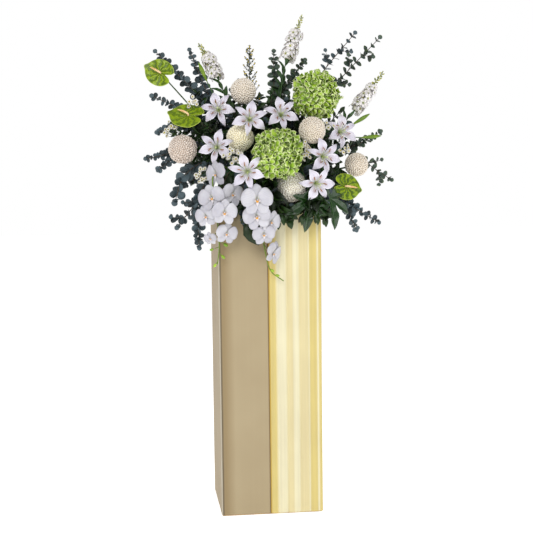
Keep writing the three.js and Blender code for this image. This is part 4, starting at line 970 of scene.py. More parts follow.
def makeAnthuriums(greenStem):
    spatheWax = makeSpatheFinish()
    spadixSkin = makeSpadixFinish()
    heart = sheetFromForm("heart", anthuriums["around"], anthuriums["out"], heartForm,
                          anthuriums["thickness"] / anthuriums["size"], chart=heartChart)
    path = smoothPath(anthuriums["spadix"], 5)
    count = len(path)
    thick = [0.4 + 2.7 * math.sin(math.pi * (0.16 + 0.76 * i / (count - 1))) ** 0.7 for i in range(count)]
    club = tubeThrough("club", path, thick, 3)
    grain = bead("grain", (0.62, 0.62, 0.62), segments=6, rings=4)
    rows = walk(path, 1.5, 0.05, 0.97)
    grains = []
    for row, (place, way, share) in enumerate(rows):
        width = thick[min(count - 1, round((0.05 + 0.92 * share) * (count - 1)))]
        across = way.orthogonal().normalized()
        around = max(5, round(2 * math.pi * width / 1.7))
        for i in range(around):
            out = Quaternion(way, 2 * math.pi * (i + 0.5 * (row % 2)) / around) @ across
            grains.append(copyTo(grain, Matrix.Translation(place + out * width * 0.95), share))
    spadix = joinPieces("spadix", [copyTo(club, Matrix(), 0.5)] + grains)
    discard(club)
    for node, (place, face, roll, size) in anthuriums["heads"].items():
        middle = Vector(place) * mm
        turn = facing(middle, face, roll)
        spathe = copyTo(heart, turn @ Matrix.Scale(size * mm, 4), anthuriums["tones"][node])
        dress(node + "_heart", [spathe], spatheWax, "anthurium_spathe", node)
        club = copyTo(spadix, turn @ Matrix.Scale(mm, 4), None)
        dress(node + "_club", [club], spadixSkin, "spadix", node + "_spadix")
        outward = Vector(face).normalized()
        stem = stemTo(node + "_stem", node, middle - outward * 0.6 * mm, outward, stems["anthurium"])
        settle(paint(stem, greenStem), "anthurium_spathe")
    discard(heart, grain, spadix)


# Lilies

lilies = {
    "depth": 30.0, "thickness": 0.7, "under": 9.6, "thread": (0.9, 0.6), "style": (1.3, 1.1),
    "petal": ((1.5, 0, 2.6, 1.5), (7.5, 8.5, 5, 3), (14, 16, 9, 4), (21, 22.5, 13.4, 4), (28.5, 27, 16, 3),
              (36, 29.5, 15.6, 1.5), (43, 30, 12.4, 0), (49.5, 28, 8, -1), (55.5, 24, 3.8, -1),
              (59.5, 19.5, 0.7, -0.3)),
    "sepal": ((1.5, -1, 2.6, 1), (7.5, 7.5, 4.4, 2.2), (14, 14.5, 7, 3), (22, 20.5, 9.8, 2.8),
              (30, 24.5, 11, 2),
              (38, 26.5, 10.2, 1), (46, 26, 8, 0), (52.5, 22.5, 5, -0.8), (57.5, 17, 2.2, -0.6),
              (60.5, 12, 0.6, -0.3)),
    "stamen": ((0, 0, 0), (6, 0, 14), (14, 0, 25), (23, 0, 30)),
    "pistil": ((0, 0, 0), (0, -1, 20), (1, -4, 40)),
    "blooms": {
        "lily_1": ((-153, -92, 1305), (-0.25, -1, 0.3), -21),
        "lily_2": ((-59, -172, 1270), (-0.05, -1, 0.25), 10),
        "lily_3": ((45, -142, 1285), (0, -1, 0.3), -10), "lily_4": ((-165, -160, 1182), (-0.2, -1, 0.15), 10),
        "lily_5": ((-80, -260, 1104), (-0.15, -1, 0.05), -17),
        "lily_6": ((248, -98, 1230), (0.35, -1, 0.25), 2),
        "lily_7": ((175, -188, 1148), (0.25, -1, 0.05), -11),
        "lily_8": ((147, -218, 1062), (0.2, -1, -0.1), -30),
    },
}


def makeLilyFinish():
    finish, tree, shader = newFinish("lilyPetal", Roughness=0.42, Subsurface_Weight=0.08,
                                     Subsurface_Radius=(0.004, 0.004, 0.005))
    tone = useGroup(tree, copyTone, Patch_Size=40.0, Patches=0.4)["Tone"]
    uv = putNode(tree, "UVMap").outputs[0]
    place = putNode(tree, "SeparateXYZ", {0: uv}).outputs
    streaks = useGroup(tree, petalLines, Lines=9.0)["Lines"]
    side = maths(tree, "ABSOLUTE", minus(tree, place[0], 0.5))
    body = mixColours(tree, tone, tint(192, 186, 201), tint(224, 220, 229))
    body = mixColours(tree, times(tree, streaks, 0.34), body, tint(178, 170, 196))
    # paler towards the petal's edges: painted highlight
    body = mixColours(tree, span(tree, side, 0.38, 0.5, 0.0, 0.9), body, tint(244, 242, 250))
    # darker along the midrib: painted shade in its groove
    midrib = times(tree, span(tree, side, 0.08, 0.0), span(tree, place[1], 0.95, 0.3))
    body = mixColours(tree, times(tree, midrib, 0.35), body, tint(170, 162, 190))
    body = mixColours(tree, span(tree, place[1], 0.22, 0.04, 0.0, 0.6), body, tint(208, 214, 168))
    flame = times(tree, span(tree, side, 0.2, 0.0),
                  times(tree, span(tree, place[1], 0.18, 0.3), span(tree, place[1], 0.52, 0.34)))
    body = mixColours(tree, times(tree, flame, 0.45), body, tint(176, 124, 100))
    dots = putNode(tree, "TexVoronoi", {"Vector": stretched(tree, uv, (16.0, 30.0, 1.0)), "Scale": 1.0})
    zone = times(tree, span(tree, place[1], 0.14, 0.24), span(tree, place[1], 0.52, 0.34))
    spots = times(tree, span(tree, dots.outputs[0], 0.3, 0.16), zone)
    tree.links.new(mixColours(tree, times(tree, spots, 0.75), body, tint(128, 84, 92)),
                   shader.inputs["Base Color"])
    bumpTo(tree, shader, plus(tree, streaks, times(tree, spots, -1.0)), 0.5, 0.0006)
    return finish


def makeLilies():
    draw = random.Random(23)
    petalFinish = makeLilyFinish()
    pollen = makeSkinFinish("lilyPollen", (158, 104, 56), (96, 56, 28), 300.0, 1.0, 2500.0, 0.9, 0.0006)
    filament = makeSkinFinish("lilyFilament", (196, 208, 140), (136, 160, 78), 60.0, 0.6, 900.0, 0.45)
    profile = (1, 0.5, 0.2, -0.12, 0.2, 0.5, 1)
    petals = []
    for name, key, ripple in (("lilyPetal", "petal", 0.0018), ("lilySepal", "sepal", 0.0009)):
        rows = [[part * mm for part in row] for row in lilies[key]]
        petals.append(sheetFromRows(name, rows, profile, lilies["thickness"] * mm, 1, ripple))
    thread = stalk("thread", smoothPath(inMetres(lilies["stamen"]), 3), lilies["thread"])
    anther = bead("anther", Vector((1.3, 7.2, 1.3)) * mm, segments=10, rings=8)
    pistil = stalk("pistil", smoothPath(inMetres(lilies["pistil"]), 3), lilies["style"])
    stigma = bead("stigma", Vector((2.6, 2.6, 1.6)) * mm, segments=9, rings=6)
    for node, (place, face, roll) in lilies["blooms"].items():
        outward = Vector(face).normalized()
        throat = Vector(place) * mm - outward * lilies["depth"] * mm
        turn = facing(throat, face, roll)
        parts, threads, anthers = [], [], []
        for i in range(6):
            spin = turned(-(60 * i + draw.uniform(-5, 5)))
            nod = turned(draw.uniform(-5, 6), "X")
            curl = Matrix.Diagonal((draw.uniform(0.92, 1.06), draw.uniform(0.94, 1.0), 1, 1))
            parts.append(copyTo(petals[i % 2], turn @ spin @ nod @ curl,
                                draw.uniform(0.55, 0.95) - 0.12 * (i % 2)))
            swing = turned(60 * i + 90 + draw.uniform(-14, 14))
            threads.append(copyTo(thread, turn @ swing, draw.random()))
            tip = swing @ Matrix.Translation(Vector(lilies["stamen"][-1]) * mm)
            lay = tip @ turned(90 + draw.uniform(-35, 35)) @ turned(draw.uniform(-30, 30), "X")
            anthers.append(copyTo(anther, turn @ lay, draw.random()))
        crest = Matrix.Translation(Vector(lilies["pistil"][-1]) * mm)
        threads += [copyTo(pistil, turn, 0.4), copyTo(stigma, turn @ crest, 0.9)]
        dress(node + "_petals", parts, petalFinish, "lily_petal", node)
        dress(node + "_threads", threads, filament, "lily_green")
        dress(node + "_anthers", anthers, pollen, "lily_petal")
    discard(*petals, thread, anther, pistil, stigma)


# Phalaenopsis orchids

orchids = {
    "thickness": 0.022, "stem": (2.9, 1.6), "pedicel": (1.5, 1.1), "budPedicel": (1.1, 1.0),
    "sepal": ((0.04, 0.0, 0.07, 0.02), (0.2, 0.06, 0.22, 0.05), (0.42, 0.11, 0.33, 0.05),
              (0.64, 0.13, 0.36, 0.03),
              (0.83, 0.11, 0.28, 0.01), (0.95, 0.08, 0.14, 0.0), (1.0, 0.06, 0.03, 0.0)),
    "wing": ((0.03, 0.02, 0.08, 0.0), (0.14, 0.08, 0.28, 0.04), (0.32, 0.14, 0.48, 0.06),
             (0.54, 0.18, 0.6, 0.03),
             (0.76, 0.18, 0.57, -0.04), (0.92, 0.13, 0.38, -0.08), (1.0, 0.09, 0.13, -0.05)),
    "lip": ((0.0, 0.04, 0.05, 0.03), (0.1, 0.11, 0.08, 0.04), (0.2, 0.14, 0.11, 0.03), (0.3, 0.13, 0.07, 0.02),
            (0.38, 0.15, 0.02, 0.0)),
    "ear": ((0.0, 0.05, 0.04, 0.02), (0.09, 0.11, 0.08, 0.04), (0.17, 0.19, 0.08, 0.04),
            (0.23, 0.25, 0.03, 0.02)),
    "spikes": {
        "orchid_1": {
            "line": ((-150, -135, 1120), (-178, -175, 1085), (-172, -188, 1010), (-165, -186, 930),
                     (-162, -182, 870),
                     (-168, -180, 815)),
            "blooms": (((-166, -176, 1096), 42, (-0.9, -0.8, 0.1), -10),
                       ((-120, -206, 1034), 38, (0.3, -1, 0), 15),
                       ((-186, -226, 1024), 42, (-0.2, -1, 0.1), -15),
                       ((-150, -250, 980), 41, (0.1, -1, -0.1), 5),
                       ((-203, -214, 968), 35, (-0.5, -1, -0.1), -10),
                       ((-142, -216, 914), 36, (0.25, -1, -0.2), 12),
                       ((-190, -202, 898), 22, (-0.5, -1, -0.3), -8)),
            "buds": ((-186, -184, 862), (-142, -184, 876), (-150, -182, 838), (-176, -180, 812)),
        },
        "orchid_2": {
            "line": ((-44, -130, 1105), (-48, -190, 1058), (-45, -205, 990), (-30, -200, 920), (-18, -190, 850),
                     (0, -182, 790), (40, -180, 758)),
            "blooms": (((-50, -255, 1016), 50, (0.05, -1, 0.1), 0),
                       ((-50, -246, 966), 44, (-0.15, -1, -0.15), -12),
                       ((-4, -226, 948), 36, (0.6, -1, -0.1), 15), ((-27, -226, 910), 37, (0.1, -1, -0.25), -5),
                       ((4, -204, 850), 38, (0.8, -0.8, -0.2), 20)),
            "buds": ((4, -186, 792), (20, -184, 776)),
        },
    },
}


def makeOrchidLipFinish():
    finish, tree, shader = newFinish("orchidLip", Roughness=0.4)
    place = mapShares(tree)
    body = mixColours(tree, span(tree, place[1], 0.2, 0.45), tint(226, 160, 22), tint(214, 210, 214))
    blotch = noise(tree, 420.0, 1.0)
    speckle = times(tree, span(tree, blotch, 0.55, 0.62), span(tree, place[1], 0.8, 0.3))
    tree.links.new(mixColours(tree, times(tree, speckle, 0.3), body, tint(200, 110, 40)),
                   shader.inputs["Base Color"])
    bumpTo(tree, shader, blotch, 0.3, 0.0003)
    return finish


def makeOrchids():
    draw = random.Random(31)
    petalFinish = makePetalFinish("orchidPetal", (204, 203, 209), (166, 163, 174), (170, 172, 148), 11.0, 0.26,
                                  0.42, 0.9)
    lipFinish = makeOrchidLipFinish()
    heartSkin = makeSkinFinish("orchidHeart", (236, 178, 40), (208, 124, 22), 300.0, 1.0, 1800.0, 0.45)
    spikeSkin = makeSkinFinish("orchidSpike", (156, 182, 52), (102, 128, 28), 40.0, 0.8)
    budSkin = makeSkinFinish("orchidBud", (172, 204, 62), (118, 158, 32), 60.0, 0.8, 700.0, 0.45)
    profile = (1, 0.35, 0.05, 0, 0.05, 0.35, 1)
    thin = orchids["thickness"]
    sepal = sheetFromRows("orchidSepal", orchids["sepal"], profile, thin, 1)
    wing = sheetFromRows("orchidWing", orchids["wing"], profile, thin, 1, 0.012)
    lip = sheetFromRows("orchidLip", orchids["lip"], profile, thin, 1)
    ear = sheetFromRows("orchidEar", orchids["ear"], profile, thin, 1)
    column = bead("orchidColumn", (0.06, 0.07, 0.12), (0, 0.01, 0.12), 10, 8)
    callus = bead("orchidCallus", (0.095, 0.075, 0.06), (0, -0.1, 0.15), 8, 6)
    bud = bead("orchidBud", (0.62, 0.62, 1.0), segments=12, rings=9)
    for node, spike in orchids["spikes"].items():
        path = pathFrom(node, spike["line"], 6)
        wood = [stalk(node + "_spike", path, orchids["stem"], stems["roundness"])]
        petals, lips, hearts, buds = [], [], [], []
        for place, radius, face, roll in spike["blooms"]:
            middle, size = Vector(place) * mm, radius * mm
            turn = facing(middle, face, roll, size)
            for angle, pattern in ((0, sepal), (142, sepal), (218, sepal), (72, wing), (288, wing)):
                spin = turned(-(angle + draw.uniform(-4, 4)))
                nod = turned(draw.uniform(-7, 5), "X")
                lift = Matrix.Translation((0, 0, 0.035 if pattern is wing else 0))
                petals.append(copyTo(pattern, turn @ lift @ spin @ nod, draw.uniform(0.55, 1.0)))
            petals.append(copyTo(column, turn, 0.9))
            down = turned(180)
            lips.append(copyTo(lip, turn @ down, 0.5))
            for side in (-1, 1):
                lips.append(copyTo(ear, turn @ turned(180 + 62 * side), 0.5))
            hearts.append(copyTo(callus, turn, 0.6))
            back = middle - Vector(face).normalized() * 2 * mm
            start = min(path, key=lambda p: (p - back - Vector((0, 0, 22 * mm))).length)
            bow = start.lerp(back, 0.5) - Vector(face).normalized() * 5 * mm
            wood.append(stalk("pedicel", interpolate_bezier(start, bow, bow, back, 5), orchids["pedicel"]))
        for place in spike["buds"]:
            spot = Vector(place) * mm
            start = min(path, key=lambda p: (p - spot - Vector((0, 0, 11 * mm))).length)
            way = (spot - start).normalized()
            wood.append(stalk("pedicel", [start, start.lerp(spot, 0.6)], orchids["budPedicel"]))
            size = draw.uniform(6.5, 8.5) * mm
            buds.append(copyTo(bud,
                               growing(spot, Vector((way.z, 0, -way.x)) + Vector((0.01, 0.01, 0)), way, size),
                               draw.random()))
        dress(node + "_stalks", wood, spikeSkin, "orchid_petal", node)
        dress(node + "_petals", petals, petalFinish, "orchid_petal")
        dress(node + "_lips", lips, lipFinish, "orchid_petal")
        dress(node + "_hearts", hearts, heartSkin, "orchid_petal")
        dress(node + "_buds", buds, budSkin, "orchid_petal")
    discard(sepal, wing, lip, ear, column, callus, bud)


dressTray()
greenStem = makeSkinFinish("greenStem", (104, 138, 62), (52, 84, 34), 30.0, 0.8, 500.0, 0.5)
makeMums(greenStem)
print("mums done")
makeHydrangeas(greenStem)
print("hydrangeas done")
makeAnthuriums(greenStem)
print("anthuriums done")
makeLilies()
print("lilies done")
makeOrchids()
print("orchids done")


# Where the blooms are, so that no leaf pushes through one or hides it

def bloomPlaces():
    places = [(Vector(place) * mm, radius * mm) for place, _, radius, _ in mums["heads"].values()]
    places += [(Vector(place) * mm, radius * mm) for place, _, radius in hydrangeas["heads"].values()]
    places += [(Vector(place) * mm, size * mm) for place, _, _, size in anthuriums["heads"].values()]
    places += [(Vector(place) * mm, 0.05) for place, _, _ in lilies["blooms"].values()]
    for spike in orchids["spikes"].values():
        places += [(Vector(place) * mm, radius * 0.95 * mm) for place, radius, _, _ in spike["blooms"]]
    return places


bloomSpots = bloomPlaces()


def isInTheWay(spot, margin=0.0):
    for centre, radius in bloomSpots:
        off = spot - centre
        if off.length < radius * 0.9 + margin:
            return True
        if spot.y < centre.y + 0.02 and math.hypot(off.x, off.z) < radius + margin:
            return True
    return False


# Stocks: white spikes with green buds at their tips

stocks = {
    "florets": 31, "buds": 17, "floret": 16.5, "heart": 10.0, "stem": (2.8, 1.1), "leafLength": 68.0,
    "heartShare": 0.68,  # how far up the spike its florets have a core
    "petal": ((0.08, 0.0, 0.12, 0.0), (0.42, 0.14, 0.34, 0.08), (0.78, 0.2, 0.46, 0.04),
              (1.04, 0.12, 0.28, -0.04)),
    "spikes": {
        "stock_1": (((-112, 5, 1330), (-140, 12, 1400), (-198, 20, 1512)), 0.74),
        "stock_2": (((60, 8, 1340), (80, 10, 1450), (136, 15, 1603)), 0.72),
        "stock_3": (((205, 25, 1190), (300, 0, 1290), (402, 5, 1420)), 0.66),
    },
}


def makeStocks(greenStem, narrowLeaf, blade):
    draw = random.Random(41)
    petalFinish = makePetalFinish("stockPetal", (240, 237, 237), (210, 204, 200), (184, 190, 122), 3.0, 0.34,
                                  0.6, 0.4)
    budSkin = makeSkinFinish("stockBud", (188, 186, 108), (106, 118, 34), 60.0, 1.0)
    petal = sheetFromRows("stockPetal", stocks["petal"], (1, 0, 1), 0.05, 0, 0.03)
    floret = joinPieces("stockFloret", [copyTo(petal, turned(72 * i)) for i in range(5)])
    eye = bead("stockEye", (0.15, 0.15, 0.16), (0, 0, 0.08), 7, 5)
    bud = joinPieces("stockBud", [bead("stockBud", (0.44, 0.8, 0.44), (0, 1.5, 0), 7, 5),
                                  tubeThrough("budFoot", [Vector((0, 0, 0)), Vector((0, 0.9, 0))],
                                              (0.13, 0.13), 0)])
    for node, (line, begin) in stocks["spikes"].items():
        path = pathFrom(node, line, 6)
        settle(paint(stalk(node + "_stem", path, stocks["stem"], stems["roundness"]), greenStem),
               "stock_petal", node)
        count = stocks["florets"] + stocks["buds"]
        stops = walk(path, lengthOf(path) * (1 - begin) / (count - 1), begin, 0.995)
        low = path[:round(len(path) * begin)]
        leaves = leafAlong(low, narrowLeaf, stocks["leafLength"], 0.4, 16, 0.6, draw, (0.1, 0.6), 1.3, True)
        full = [place for place, _, share in stops if share < stocks["heartShare"]]
        heart = stalk("stockHeart", full, (stocks["heart"], 2), 2)
        setTone(heart, 0.4)
        florets, buds = [heart], []
        for number, (place, way, share) in enumerate(stops):
            out = spiralOut(way, number)
            if number % 5 == 2:
                buds.append(copyTo(bud,
                                   growing(place + out * 6 * (1 - share) * mm, out + way * 0.6, way, 6.5 * mm),
                                   draw.random()))
            if share < stocks["florets"] / count:
                size = stocks["floret"] * (1.0 - 0.3 * share) * draw.uniform(0.75, 1.1) * mm
                lean = (out + way * draw.uniform(0.0, 0.6)).normalized()
                turn = facing(place + lean * size * draw.uniform(0.8, 1.6), lean, draw.uniform(0, 72), size)
                florets.append(copyTo(floret, turn, draw.uniform(0.3, 1.0)))
                buds.append(copyTo(eye, turn, draw.uniform(0.0, 0.7)))
            else:
                size = (8.6 - 3.4 * share) * draw.uniform(0.8, 1.1) * mm
                buds.append(copyTo(bud, growing(place, out * (1.7 - share) + way * 0.9, way, size),
                                   draw.random()))
        dress(node + "_florets", florets, petalFinish, "stock_petal")
        dress(node + "_buds", buds, budSkin, "stock_petal")
        dress(node + "_leaves", leaves, blade, "stock_petal")
    discard(petal, floret, eye, bud)


# Eucalyptus: round slate leaves in pairs, thick along arching stems

eucalyptus = {
    "pitch": 12.0, "stem": (2.6, 1.2), "twig": (1.9, 1.1), "twigShares": (0.5, 0.62, 0.74, 0.85),
    "sparse": ("eucalyptus_6", "eucalyptus_8", "eucalyptus_9", "eucalyptus_10"),
    "fresh": ("eucalyptus_7", "eucalyptus_9", "eucalyptus_10"), "sideTwig": (1.0, 0.7),
    "leaf": ((0.0, 0.0, 0.03, 0.0), (0.1, 0.03, 0.2, 0.03), (0.32, 0.06, 0.44, 0.05), (0.6, 0.06, 0.5, 0.04),
             (0.84, 0.02, 0.34, 0.02), (0.97, -0.02, 0.1, 0.0)),
    "sprays": {  # leaf length, where leaves start, how far they open to the front, ways in, tips
        "eucalyptus_1": (29, 0.44, 1.8, ((-180, 25, 1320),), ((-337, 30, 1487),)),
        "eucalyptus_2": (28, 0.46, 1.8, ((-170, 35, 1350),), ((-228, 45, 1492),)),
        "eucalyptus_3": (30, 0.36, 1.8, ((-200, 0, 1270),), ((-350, 0, 1345), (-338, -40, 1232))),
        "eucalyptus_4": (27, 0.4, 1.2, ((-230, 5, 1170),), ((-375, -25, 1148), (-340, -60, 1112))),
        "eucalyptus_5": (38, 0.46, 1.3, ((-190, -60, 1135), (-262, -85, 1090)), ((-292, -110, 1015),)),
        "eucalyptus_6": (30, 0.36, 1.0, ((-178, -75, 1095), (-225, -110, 1010)),
                         ((-285, -125, 935), (-222, -150, 872))),
        "eucalyptus_7": (29, 0.44, 1.6, ((40, 30, 1300),), ((45, 35, 1486), (145, 40, 1460))),
        "eucalyptus_8": (28, 0.46, 0.5, ((190, 45, 1400),), ((312, 35, 1548),)),
        "eucalyptus_9": (29, 0.46, 0.7, ((240, 50, 1370),), ((392, 20, 1532),)),
        "eucalyptus_10": (26, 0.36, 0.9, ((240, 20, 1180),), ((418, -30, 1072), (385, -20, 1225))),
        "eucalyptus_11": (27, 0.36, 1.2, ((190, -60, 1090), (262, -90, 1000)),
                          ((362, -85, 935), (285, -115, 915))),
        "eucalyptus_12": (30, 0.34, 1.0, ((0, 110, 1215),), ((-80, 215, 1290), (110, 205, 1250))),
    },
}


def leafAlong(path, pattern, length, begin, pitch, opening, draw, toneRange=(0.1, 0.9), lean=0.65,
              single=False):
    # Leaves in pairs, each pair turned across the one below, smaller towards the tip
    parts = []
    front = Vector((0, 1 if path[-1].y > 0.15 else -1, 0.2))
    for number, (place, way, share) in enumerate(walk(path, pitch * mm, begin, 0.98)):
        side = way.cross(Vector((0, 1, 0))).normalized()
        turn = (75 if number % 2 else -10) + draw.uniform(-28, 28)
        size = length * (1 - 0.42 * share ** 2) * draw.uniform(0.85, 1.12) * mm
        for opposite in ((180 * (number % 2),) if single else (0, 180)):
            out = Quaternion(way, math.radians(turn + opposite)) @ side
            along = out + way * (lean + draw.uniform(-0.25, 0.25))
            face = way + front * opening + jitter(draw, 0.35)
            if any(isInTheWay(place + along.normalized() * size * reach, 0.004) for reach in (0.3, 0.6, 0.95)):
                continue
            parts.append(copyTo(pattern, growing(place, along, face, size), draw.uniform(*toneRange)))
    place, way, _ = walk(path, pitch * mm, begin, 1.0)[-1]
    if not isInTheWay(place + way * length * 0.3 * mm):
        parts.append(copyTo(pattern, growing(place, way, front, length * 0.55 * mm), 0.7))
    return parts


def twigFrom(path, share, tip, steps=8):
    place, way, _ = walk(path, 1, 0, share)[-1]
    lead = place + way * (tip - place).length * 0.35
    return interpolate_bezier(place, place.lerp(lead, 0.67), lead.lerp(tip, 0.33), tip, steps)


def makeEucalyptus():
    draw = random.Random(53)
    slate = makeLeafFinish("slateLeaf", (84, 101, 108), (16, 24, 25), (92, 108, 110), 0.55, 7.0, 4.0, 0.3)
    fresh = makeLeafFinish("freshLeaf", (76, 94, 84), (18, 28, 22), (90, 106, 86), 0.55, 7.0, 4.0, 0.3,
                           tip=(92, 108, 64))
    redStem = makeSkinFinish("redStem", (128, 92, 74), (74, 66, 54), 40.0, 1.0)
    leaf = sheetFromRows("roundLeaf", eucalyptus["leaf"], (1, 0.3, 0, 0.3, 1), 0.03)
    for node, (length, begin, opening, ways, tips) in eucalyptus["sprays"].items():
        main = pathFrom(node, (*ways, tips[0]), 7, 4)
        wood = [stalk(node + "_stem", main, eucalyptus["stem"], stems["roundness"])]
        sparse = node in eucalyptus["sparse"]
        pitch = eucalyptus["pitch"] * (length / 26) ** 1.5 * (1.75 if sparse else 1)
        leaves = leafAlong(main, leaf, length, begin, pitch, opening, draw)
        for number, share in enumerate(eucalyptus["twigShares"] if sparse else ()):
            place, way, _ = walk(main, 1, 0, share)[-1]
            side = way.cross(Vector((0, 1, 0))).normalized() * (-1) ** number
            tip = place + (way + side * 0.9 + Vector((0, -0.25, 0))).normalized() * draw.uniform(34, 52) * mm
            twig = twigFrom(main, share, tip, 5)
            wood.append(stalk("sideTwig", twig, eucalyptus["sideTwig"], 0))
            leaves += leafAlong(twig, leaf, length * 0.85, 0.3, 12, opening, draw, single=True)
        for tip in tips[1:]:
            twig = twigFrom(main, 0.45, Vector(tip) * mm)
            wood.append(stalk("twig", twig, eucalyptus["twig"]))
            leaves += leafAlong(twig, leaf, length * 0.95, 0.2, eucalyptus["pitch"], opening, draw)
        dress(node + "_stems", wood, redStem, "eucalyptus_leaf", node)
        finish = fresh if node in eucalyptus["fresh"] else slate
        dress(node + "_leaves", leaves, finish, "eucalyptus_leaf")
    return leaf, slate, redStem


# Palm-shaped leaves over the rim, and at the back

palms = {
    "lobes": ((-98, 0.58), (-52, 0.9), (0, 1.0), (52, 0.9), (98, 0.58)), "waist": 0.3, "thickness": 0.016,
    "petiole": (2.3, 1.7),
    "leaves": {
        "fatsia_leaves_1": (((122, -192, 1010), (-0.12, -0.2, -0.95), 100),
                            ((20, -112, 1085), (0.1, -0.4, -0.9), 88)),
        "fatsia_leaves_2": (((190, -176, 1016), (0.2, -0.25, -0.95), 100),
                            ((200, -60, 1090), (0.8, -0.4, -0.5), 86)),
        "fatsia_leaves_3": (((-98, -112, 1068), (0, -0.3, -0.95), 90),
                            ((-82, -158, 1000), (0.05, -0.4, -0.9), 84)),
        "fatsia_leaves_4": (((-60, 120, 1120), (-0.1, 0.5, -0.9), 105),
                            ((-165, 60, 1120), (-0.75, 0.3, -0.6), 95)),
        "fatsia_leaves_5": (((70, 122, 1112), (0.15, 0.5, -0.9), 105),
                            ((165, 70, 1105), (0.75, 0.3, -0.6), 95)),
    },
}


def palmLobe(angle):  # the nearest lobe's middle and length
    return min(palms["lobes"], key=lambda lobe: abs(angle - lobe[0]))


def palmReach(angle):
    middle, length = palmLobe(angle)
    off = abs(angle - middle) / 16
    return max(palms["waist"] * min(1, (180 - abs(angle)) / 30 + 0.25),
               length * (1 - 0.35 * off - 0.05 * off ** 4))


def palmForm(u, v):
    angle = u * 180
    middle, length = palmLobe(angle)
    r = max(v, 0.0) * palmReach(angle)
    turn = math.radians(angle)
    off = r * abs(math.sin(math.radians(angle - middle)))
    rise = -0.16 * r * r + 0.55 * off - 0.03 * math.sin(18 * r) * off / 0.2
    return Vector((math.sin(turn) * r, math.cos(turn) * r, rise))


def palmChart(u, v):
    angle = u * 180
    middle, length = palmLobe(angle)
    r = max(v, 0.0) * palmReach(angle)
    off = math.radians(angle - middle)
    along = max(0.0, min(1, r * math.cos(off) / length))
    return 0.5 + min(0.5, abs(r * math.sin(off)) / (0.36 * length)), along


def makePalms(greenStem):
    draw = random.Random(61)
    glossy = makeLeafFinish("glossyLeaf", (28, 66, 18), (6, 24, 4), (66, 106, 44), 0.24, 9.0, 6.0, 0.5, 0.5,
                            0.0012)
    palm = sheetFromForm("palm", 150, 10, palmForm, palms["thickness"], chart=palmChart)
    for node, leaves in palms["leaves"].items():
        foot, neck = footOf(node, 3)
        blades, wood = [], []
        for place, along, size in leaves:
            base, way = Vector(place) * mm, Vector(along).normalized()
            front = 1 if place[1] > 0 else -1
            face = Vector((place[0] * 0.003, front, 0.35))
            blades.append(copyTo(palm, growing(base, way, face, size * mm), draw.uniform(0.2, 0.8)))
            reach = (base - neck).length
            up = Vector((base.x * 0.9, base.y * 0.7, max(base.z, 1.112) + 0.05))
            points = [foot, neck] + interpolate_bezier(
                neck, neck.lerp(up, 0.6), up, base - way * reach * 0.05, 10)[1:]
            wood.append(stalk("petiole", points + [base + way * 2 * mm], palms["petiole"], stems["roundness"]))
        dress(node + "_blades", blades, glossy, "fatsia_leaf", node)
        dress(node + "_stems", wood, greenStem, "fatsia_leaf")
    return palm


# The lilies' stems, with narrow leaves and closed buds

lilyStems = {
    "stem": (3.2, 2.3), "branch": (2.1, 2.0), "budStalk": (1.9, 1.7), "leafLength": 62.0,
    "tuck": 9.8,  # how far a stem's end reaches into its bloom
    "bud": ((-31, 1.8), (-23, 3.4), (-11, 5.4), (1, 6.8), (12, 6.6), (22, 4.8), (30, 2.4), (34, 0.8)),
    "leaf": ((0.0, 0.0, 0.03, 0.0), (0.12, 0.05, 0.09, 0.03), (0.35, 0.09, 0.14, 0.04),
             (0.62, 0.07, 0.12, 0.03),
             (0.86, -0.02, 0.06, 0.01), (1.0, -0.1, 0.008, 0.0)),
    "shapes": {
        "lily_stem_1": (("lily_1",), ((-195, -60, 1418),)), "lily_stem_2": (("lily_3", "lily_2"), ()),
        "lily_stem_3": (("lily_5", "lily_4"), ()),
        "lily_stem_4": (("lily_6",), ((316, -56, 1266), (352, -42, 1210))),
        "lily_stem_5": (("lily_7", "lily_8"), ()),
    },
}


